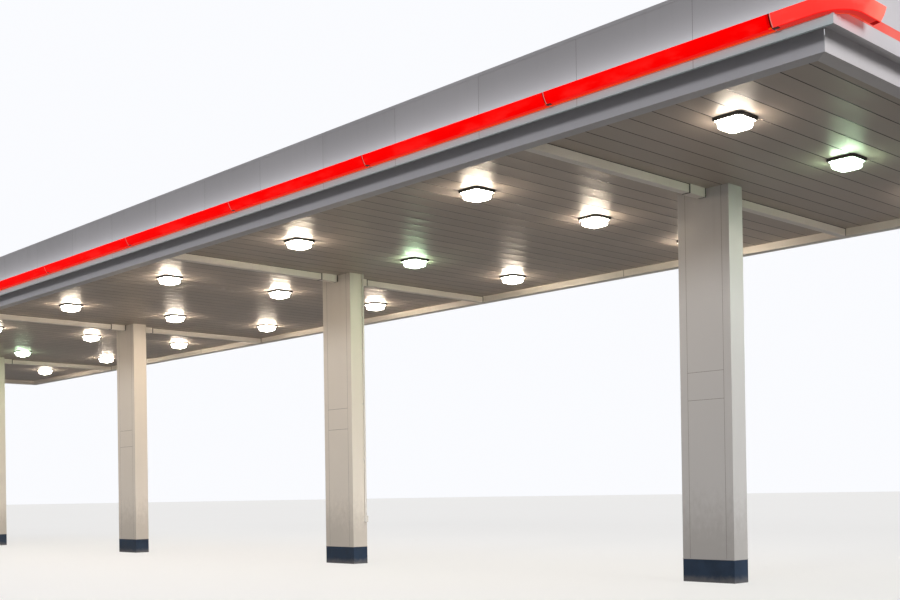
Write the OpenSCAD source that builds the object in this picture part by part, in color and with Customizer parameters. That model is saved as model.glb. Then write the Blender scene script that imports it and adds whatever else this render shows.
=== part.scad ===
// Filling station canopy: a flat deck of ribbed steel pans over one row of four clad columns,
// with a deep flat fascia all round, box gutters inside it and a red light bar along the front.
// Millimetres. X runs along the row with the right end at +X, Y runs from front to rear,
// Z points up. The origin is the centre of the plan, on the ground.

/* [Plan] */
// Width of one deck pan, seam to seam
pan_pitch = 304.8; // [260:0.1:366]
// Deck pans between two neighbouring columns
bay_pans = 26; // [18:2:32]
// Deck pans from the right hand column to the right end
right_pans = 13; // [9:1:16]
// Deck pans from the left hand column to the left end
left_pans = 19; // [9:1:23]
// Width of the canopy over the fascia faces, front to rear
canopy_w = 7740; // [6450:10:9290]

/* [Heights] */
// Underside of the deck above the ground
deck_z = 5190; // [4300:10:6230]
// Depth of the gutters below the deck
gutter_drop = 115; // [80:1:150]
// Height of the fascia bottom edge above the deck underside
fascia_rise = 30; // [10:1:60]
// Height of the fascia
fascia_h = 740; // [690:5:900]

/* [Columns] */
// Width of the column cladding along the row
clad_w = 806; // [660:2:970]
// Depth of the column cladding across the row
clad_d = 310; // [290:2:400]
// Thickness of the cladding sheet
clad_t = 4; // [3:0.5:6]
// Width of the cladding strip outside each upright joint
clad_edge = 118; // [80:1:150]
// Height of the dark base wrap
base_h = 300; // [200:5:400]
// Side of the square steel post
post_side = 254; // [200:2:270]
// Wall of the square steel post
post_wall = 10; // [6:1:16]
// Width of the post's base plate along the row
plate_w = 560; // [460:5:640]
// Thickness of the base plate
plate_t = 25; // [15:1:35]
// Diameter of the anchor bolt holes
anchor_d = 33; // [20:1:40]

/* [Steel] */
// Depth of the cross beam over each column
beam_depth = 410; // [350:5:500]
// Flange width of the cross beam
beam_flange = 180; // [150:5:220]
// Depth of the purlins
purlin_depth = 310; // [200:5:340]
// Flange width of the purlins
purlin_flange = 120; // [90:5:150]
// Distance from the fascia face to the outer purlin line
purlin_inset = 570; // [520:5:700]

/* [Deck and lamps] */
// Height of the standing ribs at the pan seams
rib_h = 76; // [50:1:100]
// Width of the open groove under each rib
rib_groove = 8; // [5:0.5:12]
// Thickness of the deck sheet
deck_t = 2; // [1:0.5:3]
// Side of the square lamp bezel
bezel_side = 380; // [360:5:440]
// Thickness of the lamp bezel
bezel_t = 16; // [12:1:30]
// Radius of the bezel corners
bezel_corner_r = 60; // [40:1:80]
// Side of the drop lens
lens_side = 310; // [250:5:310]
// Radius of the upright corners of the lens
lens_corner_r = 55; // [52:1:70]
// Radius round the lower edge of the lens
lens_edge_r = 50; // [20:1:50]
// Depth of the lens below the bezel
lens_drop = 112; // [80:1:140]
// Distance of the outer lamp rows from the purlin line inside them
lamp_from_purlin = 400; // [260:10:560]

/* [Service conduit] */
// Outside diameter of the conduit on the second column
conduit_d = 27; // [21:1:35]
// Distance of the conduit from the rear edge of the column
conduit_inset = 38; // [34:1:60]
// Underside of the outlet box above the ground
outlet_z = 741; // [400:1:1200]
// Width of the outlet box
outlet_w = 67; // [50:1:68]
// Height of the outlet box
outlet_h = 113; // [90:1:130]
// How far the outlet box stands out from the column
outlet_d = 50; // [40:1:60]

/* [Gutters] */
// Distance from the fascia face to the outer wall of the gutter
gutter_inset = 193; // [150:1:230]
// Width of the perimeter gutter
gutter_w = 163; // [130:1:200]
// Width of the cross gutter at each column
cross_w = 109; // [80:1:140]
// Length of the wider sleeve of the cross gutter beside the column
sleeve_len = 320; // [150:5:400]
// Gap from the column face to the sleeve, bridged by the outlet neck
sleeve_gap = 30; // [15:1:60]

/* [Light bar] */
// Height of the bar's lower edge above the fascia bottom
bar_rise = 88; // [60:1:200]
// How far the bar's upper edge stands out from its back
bar_out = 128; // [90:1:160]
// How far the bar's flat underside reaches out
bar_under = 68; // [40:1:80]
// Height from the lower edge to the proud upper edge
bar_h = 127; // [100:1:150]
// Radius of the curved front of the bar
bar_curve = 270; // [200:5:400]
// Length of one straight bar segment
bar_segment = 3048; // [2000:1:3600]
// Distance from the fascia end to the first bar joint
bar_corner_run = 554; // [420:1:800]
// Length of the shorter segment beside the right hand corner
bar_first = 2729; // [1500:1:3600]
// Distance from the front face to the end of the bar on each side
bar_return = 535; // [400:1:700]
// Radius of the bar's back edge round the corner
bar_corner_r = 230; // [120:5:260]
// Gap between the bar and the side faces past the corner
bar_standoff = 90; // [30:1:100]
// Width of the open joint between bar segments
bar_joint = 5; // [2:0.5:8]

/* [Fascia] */
// Width of one fascia panel along the front
fascia_panel = 1457; // [1000:1:2400]
// Thickness of the fascia panel
fascia_t = 4; // [3:0.5:6]

/* [Hidden] */

// Clearance between two pieces that rest on each other
seat = 0.3;
// Overlap that lets one cut or weld run through another
eps = 1;
// Facets of every round shape
round_fn = 64;

// Overall plan
columns = 4;
bay = bay_pans * pan_pitch;
canopy_l = (right_pans + left_pans + (columns - 1) * bay_pans) * pan_pitch;
function column_x(k) = canopy_l / 2 - right_pans * pan_pitch - (k - 1) * bay;

// Levels
steel_z = deck_z + rib_h + seat;
gutter_z = deck_z - gutter_drop;
fascia_z = deck_z + fascia_rise;
fascia_top = fascia_z + fascia_h;
purlin_top = steel_z + purlin_depth;
bar_z = fascia_z + bar_rise;

// Post, base plate and cap plate
plate_gap = 6;
plate_d = clad_d - 2 * (clad_t + plate_gap);
anchor_edge_x = 40;
anchor_edge_y = 45;
cap_side = post_side + 36;
cap_t = 20;
notch_gap = 3;

// Rolled sections
beam_flange_t = 14;
beam_web_t = 8;
purlin_flange_t = 10;
purlin_web_t = 6;
cope_gap = 10;
tab_t = 10;
tab_lap = 80;
tab_clear = 30;
stiffener_t = 12;

// Purlin lines, three each side of the column row
outer_purlin_y = canopy_w / 2 - purlin_inset;
purlin_pitch = outer_purlin_y / 2.5;
function purlin_y(i) = (i + 0.5) * purlin_pitch;
beam_half = outer_purlin_y + 100;
purlin_end_inset = 560;

// Deck edges lie over the middle of the gutters
deck_inset = gutter_inset + gutter_w / 2;
deck_half_y = canopy_w / 2 - deck_inset;
seam_margin = 20;

// Lamps sit in the middle of a pan
lamp_step = (floor(bay_pans / 4) + 0.5) * pan_pitch;
lamp_row_y = purlin_y(1) + lamp_from_purlin;
lamp_cut = pan_pitch - rib_groove - 2 * deck_t - 8.8;
housing_gap = 2;
housing_side = lamp_cut - 2 * housing_gap;
housing_top = 130;
lens_flange = lens_side + 35;
lens_flange_t = 14;
lens_draft = 2;

// Gutter sheet
gutter_t = 2;
hook_w = 26;
corner_slit = 5;
mitre_gap = 0.3;
sleeve_extra = 7;
neck_w = 80;
neck_h = 84;
cross_hook = 16;

// Fascia panel edges and cap
fascia_return = 30;
fascia_lip = 18;
cap_proud = 3;
cap_depth = 70;
cap_leg = 38;
panel_groove_w = 4;
panel_groove_d = 1.5;

// Fascia framing: rails behind the panel, legs, lower arms and braces to the purlins
rail_t = 5;
rail_h = 50;
leg_out = 60;
leg_in = 110;
leg_w = 50;
arm_z = steel_z + 30;
arm_h = 50;
frame_top = fascia_top - 60;
brace_h = 70;
brace_foot_h = 40;
brace_foot_w = 55;

// Cladding joints and the lip over the base wrap
joint_w = 6;
joint_d = 2;
clad_joint_low = 2410;
clad_joint_high = 2780;
clad_lip_h = 12;
clad_lip_out = 4;

// Conduit and outlet box on one column
conduit_column = 2;
conduit_wall = 2;
conduit_stand = 6;
conduit_y = clad_d / 2 - conduit_inset;
conduit_x = clad_w / 2 + conduit_stand + conduit_d / 2;
conduit_above = 60;
conduit_hole_gap = 3;
hub_h = 26;
hub_wall = 5;
coupling_z = 925;
coupling_h = 30;
coupling_wall = 3;
strap_w = 20;
strap_t = 2;
strap_foot = 22;
strap_top = 4842;
strap_count = 4;
outlet_cover_t = 5;
outlet_cover_inset = 3;

// Light bar shell
bar_wall = 4;
bar_back_h = 150;
bar_under_rise = 9;

// Copies a child to the front, right, rear or left side, with X along the side and Y inwards
module on_side(side) {
    if (side == "front") translate([0, -canopy_w / 2, 0]) children();
    if (side == "right") translate([canopy_l / 2, 0, 0]) rotate([0, 0, 90]) children();
    if (side == "rear") translate([0, canopy_w / 2, 0]) rotate([0, 0, 180]) children();
    if (side == "left") translate([-canopy_l / 2, 0, 0]) rotate([0, 0, -90]) children();
}
function side_len(side) = (side == "front" || side == "rear") ? canopy_l : canopy_w;

// Runs a profile of (inward, up) points along X between two ends
module run_x(x0, x1) {
    translate([x0, 0, 0])
        rotate([90, 0, 90])
            linear_extrude(height = x1 - x0) children();
}

// Runs a profile of (X, up) points along Y between two ends
module run_y(y0, y1) {
    translate([0, y1, 0])
        rotate([90, 0, 0])
            linear_extrude(height = y1 - y0) children();
}

// Runs a profile along one side and mitres both ends at 45 degrees
module mitred_run(len, outward, inward, z0, z1) {
    half = len / 2 - mitre_gap;
    intersection() {
        run_x(-half - outward, half + outward) children();
        translate([0, 0, z0 - eps])
            linear_extrude(height = z1 - z0 + 2 * eps)
                polygon([
                    [-half - outward, -outward],
                    [half + outward, -outward],
                    [half - inward, inward],
                    [-half + inward, inward]
                ]);
    }
}

// Outline of a rolled I section with its bottom flange on Z = 0
module i_section(depth, width, flange_t, web_t) {
    translate([-width / 2, 0]) square([width, flange_t]);
    translate([-width / 2, depth - flange_t]) square([width, flange_t]);
    translate([-web_t / 2, 0]) square([web_t, depth]);
}

// Outline of a column wrap that stands out from the cladding face by a margin
module wrap_outline(margin) {
    difference() {
        square([clad_w + 2 * margin, clad_d + 2 * margin], center = true);
        square([clad_w - 2 * clad_t, clad_d - 2 * clad_t], center = true);
    }
}

// Dark wrap round the foot of a column
module column_base(k) {
    color("midnightblue")
        translate([column_x(k), 0, 0])
            linear_extrude(height = base_h) wrap_outline(0);
}

// Sheet cladding from the base wrap up to the deck, with its panel joints as shallow grooves
// and a thin lip over the base wrap
module column_cladding(k) {
    z0 = base_h + seat;
    height = deck_z - seat - z0;
    joint_x = clad_w / 2 - clad_edge;
    color("ivory")
        translate([column_x(k), 0, z0])
            difference() {
                union() {
                    linear_extrude(height = height)
                        difference() {
                            wrap_outline(0);
                            for (sx = [-1, 1], sy = [-1, 1])
                                translate([sx * joint_x, sy * clad_d / 2])
                                    square([joint_w, 2 * joint_d], center = true);
                        }
                    linear_extrude(height = clad_lip_h) wrap_outline(clad_lip_out);
                }
                for (z = [clad_joint_low, clad_joint_high], sy = [-1, 1])
                    translate([0, sy * clad_d / 2, z - z0])
                        cube([2 * joint_x, 2 * joint_d, joint_w], center = true);
            }
}

// Square post on its anchored base plate, with a cap plate that carries the cross beam
module post(k) {
    hole_x = plate_w / 2 - anchor_edge_x;
    hole_y = plate_d / 2 - anchor_edge_y;
    cap_z = steel_z - seat - cap_t;
    translate([column_x(k), 0, 0]) {
        difference() {
            linear_extrude(height = plate_t) square([plate_w, plate_d], center = true);
            for (sx = [-1, 1], sy = [-1, 1])
                translate([sx * hole_x, sy * hole_y, -eps])
                    cylinder(h = plate_t + 2 * eps, d = anchor_d, $fn = round_fn);
        }
        translate([0, 0, plate_t - eps])
            linear_extrude(height = cap_z - plate_t + 2 * eps)
                difference() {
                    square(post_side, center = true);
                    square(post_side - 2 * post_wall, center = true);
                }
        translate([0, 0, cap_z])
            linear_extrude(height = cap_t) square(cap_side, center = true);
    }
}

// Cross beam with stiffeners over the post walls and the tabs that the purlins are bolted to
module cross_beam(k) {
    tab_h = purlin_depth - 2 * tab_clear;
    tab_reach = beam_flange / 2 + cope_gap + tab_lap;
    stiffener_h = beam_depth - 2 * beam_flange_t + 2 * eps;
    translate([column_x(k), 0, steel_z]) {
        run_y(-beam_half, beam_half)
            i_section(beam_depth, beam_flange, beam_flange_t, beam_web_t);
        for (side = [-1, 1])
            translate([0, side * (post_side - post_wall) / 2, beam_depth / 2])
                cube([beam_flange, stiffener_t, stiffener_h], center = true);
        for (side = [-1, 1], i = [0 : 2])
            translate([0, side * purlin_y(i) + purlin_web_t / 2 + seat + tab_t / 2, tab_clear + tab_h / 2])
                cube([2 * tab_reach, tab_t, tab_h], center = true);
    }
}

// Steel over one column
module steel_frame(k) {
    color("slategray") {
        post(k);
        cross_beam(k);
    }
}

// Three purlin lines on one side of the row, cut at each cross beam
module purlins(side) {
    gap = beam_flange / 2 + cope_gap;
    end_x = canopy_l / 2 - purlin_end_inset;
    starts = [end_x, for (k = [1 : columns]) column_x(k) - gap];
    stops = [for (k = [1 : columns]) column_x(k) + gap, -end_x];
    color("gray")
        for (i = [0 : 2], s = [0 : columns])
            translate([0, side * purlin_y(i), steel_z])
                run_x(stops[s], starts[s])
                    i_section(purlin_depth, purlin_flange, purlin_flange_t, purlin_web_t);
}

// Section of the deck between two ends: flat pans, a standing rib over each seam, upturned ends
module deck_section(x0, x1) {
    g = rib_groove / 2;
    first = ceil((x0 + seam_margin - column_x(columns)) / pan_pitch);
    last = floor((x1 - seam_margin - column_x(columns)) / pan_pitch);
    seams = [for (i = [first : last]) column_x(columns) + i * pan_pitch];
    under = [for (x = seams) each [
        [x - g, 0], [x - g, rib_h - deck_t], [x + g, rib_h - deck_t], [x + g, 0]
    ]];
    over = [for (i = [len(seams) - 1 : -1 : 0]) each [
        [seams[i] + g + deck_t, deck_t], [seams[i] + g + deck_t, rib_h],
        [seams[i] - g - deck_t, rib_h], [seams[i] - g - deck_t, deck_t]
    ]];
    polygon(concat(
        [[x0, 0]], under, [[x1, 0], [x1, rib_h], [x1 - deck_t, rib_h], [x1 - deck_t, deck_t]],
        over, [[x0 + deck_t, deck_t], [x0 + deck_t, rib_h], [x0, rib_h]]
    ));
}

// Deck over one bay, cut out for the posts, the lamps and the conduit
module deck_bay(n) {
    g = rib_groove / 2;
    x1 = n == 1 ? canopy_l / 2 - deck_inset : column_x(n - 1) - g;
    x0 = n == columns + 1 ? -canopy_l / 2 + deck_inset : column_x(n) + g;
    notch = cap_side + 2 * notch_gap;
    color("tan")
        difference() {
            translate([0, 0, deck_z])
                run_y(-deck_half_y, deck_half_y) deck_section(x0, x1);
            for (k = [1 : columns])
                translate([column_x(k), 0, deck_z])
                    cube([notch, notch, 4 * rib_h], center = true);
            for (k = [1 : columns], s = [-1, 1], y = [-lamp_row_y, 0, lamp_row_y])
                translate([column_x(k) + s * lamp_step, y, deck_z])
                    cube([lamp_cut, lamp_cut, 4 * deck_t], center = true);
            if (n == conduit_column)
                translate([column_x(n) + conduit_x, conduit_y, deck_z - eps])
                    cylinder(h = deck_t + 2 * eps, d = conduit_d + 2 * conduit_hole_gap, $fn = round_fn);
        }
}

// Square outline with round corners
module round_square(side, r) {
    square([side, side - 2 * r], center = true);
    square([side - 2 * r, side], center = true);
    for (sx = [-1, 1], sy = [-1, 1])
        translate([sx * (side / 2 - r), sy * (side / 2 - r)]) circle(r = r, $fn = round_fn);
}

// Edge of the lens body as (outward from the corner axis, up): slight draft over a round lower edge
module lens_edge() {
    lower = lens_corner_r - lens_draft;
    top = lens_drop - lens_flange_t;
    polygon([[0, lens_edge_r], [lower, lens_edge_r], [lens_corner_r, top], [0, top]]);
    square([lower - lens_edge_r, lens_edge_r + eps]);
    intersection() {
        translate([lower - lens_edge_r, lens_edge_r]) circle(r = lens_edge_r, $fn = round_fn);
        translate([lower - lens_edge_r, 0]) square(lens_edge_r);
    }
}

// Drop lens: a pillow built from its middle, four edges and four corners, under a flat flange
module lens() {
    half = lens_side / 2 - lens_corner_r;
    top = lens_drop - lens_flange_t;
    translate([-half, -half, 0]) cube([2 * half, 2 * half, top]);
    for (a = [0 : 90 : 270])
        rotate([0, 0, a]) {
            translate([half, 0, 0]) run_y(-half, half) lens_edge();
            translate([half, half, 0])
                rotate_extrude(angle = 90, $fn = round_fn) lens_edge();
        }
    translate([0, 0, top])
        linear_extrude(height = lens_flange_t) round_square(lens_flange, lens_corner_r);
}

// One lamp: bezel under the deck with its housing above, and the drop lens below
module lamp(x, y) {
    bezel_z = deck_z - seat - bezel_t;
    translate([x, y, 0]) {
        color("dimgray") {
            translate([0, 0, bezel_z])
                linear_extrude(height = bezel_t) round_square(bezel_side, bezel_corner_r);
            translate([0, 0, bezel_z + bezel_t - eps])
                linear_extrude(height = housing_top + eps) square(housing_side, center = true);
        }
        color("whitesmoke")
            translate([0, 0, bezel_z - seat - lens_drop]) lens();
    }
}

// Three lamps in line across the canopy, two rows to each column
module lamp_row(n) {
    k = ceil(n / 2);
    x = column_x(k) + (n % 2 == 1 ? lamp_step : -lamp_step);
    for (y = [-lamp_row_y, 0, lamp_row_y]) lamp(x, y);
}

// Section of the perimeter gutter as (inward, up): the outer wall turns out under the framing
// and closes the gap to the fascia, the inner wall hooks under the deck
module gutter_section() {
    y0 = gutter_inset;
    y1 = gutter_inset + gutter_w;
    closure = fascia_t + seat;
    outer_top = arm_z - seat;
    inner_top = deck_z - seat;
    translate([y0, gutter_z]) square([gutter_w, gutter_t]);
    translate([y0, gutter_z]) square([gutter_t, outer_top - gutter_z]);
    translate([closure, outer_top - gutter_t]) square([y0 - closure + hook_w, gutter_t]);
    translate([y1 - gutter_t, gutter_z]) square([gutter_t, inner_top - gutter_z]);
    translate([y1 - hook_w, inner_top - gutter_t]) square([hook_w, gutter_t]);
}

// Gutter along one side, its outer wall stopped short of the corner above the deck level
module gutter(side) {
    outer_top = arm_z - seat;
    corner = side_len(side) / 2 - gutter_inset;
    color("gainsboro")
        on_side(side)
            difference() {
                mitred_run(side_len(side), 0, gutter_inset + gutter_w, gutter_z, outer_top)
                    gutter_section();
                for (s = [-1, 1])
                    translate([s * corner, gutter_inset, fascia_z + outer_top - deck_z])
                        cube([2 * corner_slit, 4 * gutter_t, 2 * (outer_top - deck_z)], center = true);
            }
}

// Cross gutter from the perimeter gutter to the column, ending in a sleeve and an outlet neck
module cross_gutter_run() {
    near = clad_d / 2 + seat;
    sleeve_near = clad_d / 2 + sleeve_gap;
    sleeve_far = sleeve_near + sleeve_len;
    far = canopy_w / 2 - gutter_inset - gutter_w - seat;
    top = deck_z - seat;
    depth = top - gutter_z;
    sleeve_w = cross_w + 2 * sleeve_extra;
    difference() {
        union() {
            translate([-cross_w / 2, sleeve_far - eps, gutter_z])
                cube([cross_w, far - sleeve_far + eps, depth]);
            translate([-sleeve_w / 2, sleeve_near, gutter_z - sleeve_extra])
                cube([sleeve_w, sleeve_len, depth + sleeve_extra]);
            translate([-neck_w / 2, near, top - neck_h - gutter_t])
                cube([neck_w, sleeve_gap + eps, neck_h]);
        }
        translate([-cross_w / 2 + gutter_t, sleeve_near + gutter_t, gutter_z + gutter_t])
            cube([cross_w - 2 * gutter_t, far - sleeve_near - 2 * gutter_t, depth - 2 * gutter_t]);
        translate([-cross_w / 2 + cross_hook, sleeve_near + gutter_t, gutter_z + gutter_t])
            cube([cross_w - 2 * cross_hook, far - sleeve_near - 2 * gutter_t, depth]);
        translate([-neck_w / 2 + gutter_t, near - eps, top - neck_h])
            cube([neck_w - 2 * gutter_t, sleeve_gap + gutter_t + 3 * eps, neck_h - 2 * gutter_t]);
    }
}

module cross_gutter(k) {
    color("gainsboro")
        translate([column_x(k), 0, 0])
            for (s = [0, 1]) mirror([0, s, 0]) cross_gutter_run();
}

// Section of the fascia as (inward, up): face, returned bottom edge and a cap over the top
module fascia_section() {
    translate([0, fascia_z]) square([fascia_t, fascia_h]);
    translate([0, fascia_z]) square([fascia_return, fascia_t]);
    translate([fascia_return - fascia_t, fascia_z]) square([fascia_t, fascia_lip]);
    translate([-cap_proud, fascia_top - cap_proud]) square([cap_depth + cap_proud, cap_proud]);
    translate([-cap_proud, fascia_top - cap_leg]) square([cap_proud + eps, cap_leg]);
    translate([cap_depth - cap_proud, fascia_top - cap_leg]) square([cap_proud, cap_leg]);
}

// Fascia along one side with its upright panel joints
module fascia(side) {
    len = side_len(side);
    panels = round(len / fascia_panel);
    step = len / panels;
    color("lightgray")
        on_side(side)
            difference() {
                mitred_run(len, cap_proud, cap_depth, fascia_z, fascia_top) fascia_section();
                for (i = [1 : panels - 1])
                    translate([-len / 2 + i * step, 0, fascia_z - eps + (fascia_h - cap_leg) / 2])
                        cube([panel_groove_w, 2 * panel_groove_d, fascia_h - cap_leg], center = true);
            }
}

// One framing bracket as (inward, up): leg behind the fascia, lower arm and brace to the steel
module bracket_outline(arm_end, foot) {
    polygon([
        [leg_out, arm_z], [arm_end, arm_z], [arm_end, arm_z + arm_h], [leg_in, arm_z + arm_h],
        [leg_in, frame_top - brace_h], [foot, purlin_top + seat],
        [foot + brace_foot_w, purlin_top + seat], [foot + brace_foot_w, purlin_top + seat + brace_foot_h],
        [leg_in, frame_top], [leg_out, frame_top]
    ]);
}

// Rails that the fascia panels are screwed to
module rail_section() {
    inner = fascia_t + seat;
    reach = (leg_out + leg_in) / 2 - inner;
    translate([inner, arm_z]) square([rail_t, rail_h]);
    translate([inner, arm_z]) square([reach, rail_t]);
    translate([inner, frame_top - rail_h]) square([rail_t, rail_h]);
    translate([inner, frame_top - rail_t]) square([reach, rail_t]);
}

// Fascia framing along one side, with a bracket at each place given along the side
module fascia_frame(side, places, arm_end, foot) {
    color("darkgray")
        on_side(side) {
            mitred_run(side_len(side), 0, leg_in, arm_z, frame_top) rail_section();
            for (x = places)
                run_x(x - leg_w / 2, x + leg_w / 2) bracket_outline(arm_end, foot);
        }
}

// Brackets along the front and rear stand between the columns and the lamps
bracket_step = bay / 4;
bracket_end = canopy_l / 2 - 600;
bracket_first = ceil((-bracket_end - column_x(columns)) / bracket_step - 0.5);
bracket_last = floor((bracket_end - column_x(columns)) / bracket_step - 0.5);
long_places = [for (i = [bracket_first : bracket_last]) column_x(columns) + (i + 0.5) * bracket_step];

// Brackets at the ends stand on the purlin ends
end_places = [for (s = [-1, 1], i = [0 : 2]) s * purlin_y(i)];

module long_frame(side) {
    turn = side == "rear" ? -1 : 1;
    fascia_frame(side, [for (x = long_places) turn * x],
        purlin_inset - purlin_web_t / 2 - seat, purlin_inset - purlin_flange / 2);
}

module end_frame(side) {
    fascia_frame(side, end_places, purlin_end_inset - seat, purlin_end_inset + cope_gap / 2);
}

// Solid outline of the light bar as (outward, up), its back on zero, drawn in by a margin
module bar_outline(margin) {
    chord = [bar_out - bar_under, bar_h - bar_under_rise];
    half_chord = norm(chord) / 2;
    reach = sqrt(bar_curve * bar_curve - half_chord * half_chord);
    centre = [
        (bar_out + bar_under) / 2 - chord[1] / (2 * half_chord) * reach,
        (bar_h + bar_under_rise) / 2 + chord[0] / (2 * half_chord) * reach
    ];
    edge = bar_out + bar_wall;
    slope = bar_under_rise / bar_under;
    intersection() {
        translate(centre) circle(r = bar_curve - margin, $fn = round_fn * 2);
        polygon([
            [margin, margin],
            [edge, margin + (edge - margin) * slope],
            [edge, bar_h - margin],
            [bar_out - bar_wall, bar_h - margin],
            [margin, bar_back_h - margin]
        ]);
    }
}

// Hollow section of the light bar
module bar_section() {
    difference() {
        bar_outline(0);
        bar_outline(bar_wall);
    }
}

// Straight piece of the bar on the front face, between two distances from the right end
module bar_straight(from, to) {
    on_side("front")
        mirror([0, 1, 0])
            translate([0, seat, bar_z])
                run_x(canopy_l / 2 - to + bar_joint / 2, canopy_l / 2 - from - bar_joint / 2)
                    bar_section();
}

// Corner piece of the bar: a run on the front, a quarter turn and a run beside the end face
module bar_corner() {
    x_face = canopy_l / 2;
    y_face = -canopy_w / 2;
    turn_x = x_face + bar_standoff - bar_corner_r;
    turn_y = y_face - seat + bar_corner_r;
    difference() {
        union() {
            translate([0, y_face - seat, bar_z])
                mirror([0, 1, 0])
                    run_x(x_face - bar_corner_run + bar_joint / 2, turn_x)
                        bar_section();
            translate([turn_x, turn_y, bar_z])
                rotate([0, 0, -90])
                    rotate_extrude(angle = 90, $fn = round_fn * 2)
                        translate([bar_corner_r, 0]) bar_section();
            translate([x_face + bar_standoff, 0, bar_z])
                run_y(turn_y, y_face + bar_return) bar_section();
            translate([x_face + bar_standoff, 0, bar_z])
                run_y(y_face + bar_return - bar_wall, y_face + bar_return) bar_outline(0);
        }
        translate([x_face + seat - canopy_w, y_face - seat, bar_z - eps])
            cube([canopy_w, canopy_w, bar_back_h + 2 * eps]);
    }
}

module light_bar() {
    last = canopy_l - bar_corner_run;
    second = bar_corner_run + bar_first;
    full = ceil((last - second) / bar_segment - 0.2);
    cuts = [bar_corner_run, for (i = [0 : full - 1]) second + i * bar_segment, last];
    color("red") {
        bar_corner();
        mirror([1, 0, 0]) bar_corner();
        for (i = [0 : len(cuts) - 2]) bar_straight(cuts[i], cuts[i + 1]);
    }
}

// One strap over the conduit, with its foot on the column face
module conduit_strap() {
    ring = conduit_d / 2 + strap_t;
    linear_extrude(height = strap_w) {
        circle(r = ring, $fn = round_fn);
        translate([-conduit_d / 2 - conduit_stand + seat, -ring])
            square([conduit_d / 2 + conduit_stand - seat, 2 * ring]);
        translate([-conduit_d / 2 - conduit_stand + seat, -ring - strap_foot])
            square([strap_t, ring + strap_foot]);
    }
}

// Outlet box with its cover, and the hub that the conduit enters
module outlet_box() {
    cover = outlet_d - outlet_cover_t;
    translate([clad_w / 2 + seat, conduit_y - outlet_w / 2, outlet_z])
        cube([cover - seat, outlet_w, outlet_h]);
    translate([clad_w / 2 + cover - eps, conduit_y, outlet_z + outlet_h / 2])
        rotate([90, 0, 90])
            linear_extrude(height = outlet_cover_t + eps)
                square([outlet_w - 2 * outlet_cover_inset, outlet_h - 2 * outlet_cover_inset], center = true);
    translate([conduit_x, conduit_y, outlet_z + outlet_h - eps])
        cylinder(h = hub_h + eps, d = conduit_d + 2 * hub_wall, $fn = round_fn);
}

// Conduit from the outlet box up through the deck, strapped to the column face
module service_conduit() {
    pipe_z = outlet_z + outlet_h + hub_h - eps;
    pipe_h = deck_z + conduit_above - pipe_z;
    bore = conduit_d - 2 * conduit_wall;
    strap_step = (strap_top - outlet_z - outlet_h) / strap_count;
    color("ivory")
        translate([column_x(conduit_column), 0, 0])
            difference() {
                union() {
                    outlet_box();
                    translate([conduit_x, conduit_y, 0]) {
                        translate([0, 0, pipe_z])
                            cylinder(h = pipe_h, d = conduit_d, $fn = round_fn);
                        translate([0, 0, coupling_z])
                            cylinder(h = coupling_h, d = conduit_d + 2 * coupling_wall, $fn = round_fn);
                        for (i = [0 : strap_count - 1])
                            translate([0, 0, strap_top - i * strap_step]) conduit_strap();
                    }
                }
                translate([conduit_x, conduit_y, pipe_z])
                    cylinder(h = pipe_h + eps, d = bore, $fn = round_fn);
            }
}

column_base(1);  // column_base_1
column_base(2);  // column_base_2
column_base(3);  // column_base_3
column_base(4);  // column_base_4
column_cladding(1);  // column_cladding_1
column_cladding(2);  // column_cladding_2
column_cladding(3);  // column_cladding_3
column_cladding(4);  // column_cladding_4
steel_frame(1);  // steel_frame_1
steel_frame(2);  // steel_frame_2
steel_frame(3);  // steel_frame_3
steel_frame(4);  // steel_frame_4
cross_gutter(1);  // cross_gutter_1
cross_gutter(2);  // cross_gutter_2
cross_gutter(3);  // cross_gutter_3
cross_gutter(4);  // cross_gutter_4
purlins(-1);  // purlins_front
purlins(1);  // purlins_rear
deck_bay(1);  // deck_bay_1
deck_bay(2);  // deck_bay_2
deck_bay(3);  // deck_bay_3
deck_bay(4);  // deck_bay_4
deck_bay(5);  // deck_bay_5
lamp_row(1);  // lamp_row_1
lamp_row(2);  // lamp_row_2
lamp_row(3);  // lamp_row_3
lamp_row(4);  // lamp_row_4
lamp_row(5);  // lamp_row_5
lamp_row(6);  // lamp_row_6
lamp_row(7);  // lamp_row_7
lamp_row(8);  // lamp_row_8
gutter("front");  // gutter_front
gutter("right");  // gutter_right
gutter("rear");  // gutter_rear
gutter("left");  // gutter_left
long_frame("front");  // fascia_frame_front
end_frame("right");  // fascia_frame_right
long_frame("rear");  // fascia_frame_rear
end_frame("left");  // fascia_frame_left
fascia("front");  // fascia_front
fascia("right");  // fascia_right
fascia("rear");  // fascia_rear
fascia("left");  // fascia_left
light_bar();
service_conduit();
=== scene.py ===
"""Looks of the filling station canopy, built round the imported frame.

Every size is in metres in the frame of the model: X along the row of columns with the right end
at +X, Y from the front to the rear, Z up, the origin on the ground in the centre of the plan.
"""
from __future__ import annotations

import logging
import math
from dataclasses import dataclass, field, replace
from enum import Enum
from itertools import product
from typing import Iterable, Sequence

import bmesh
import bpy
from mathutils import Matrix, Vector


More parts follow.
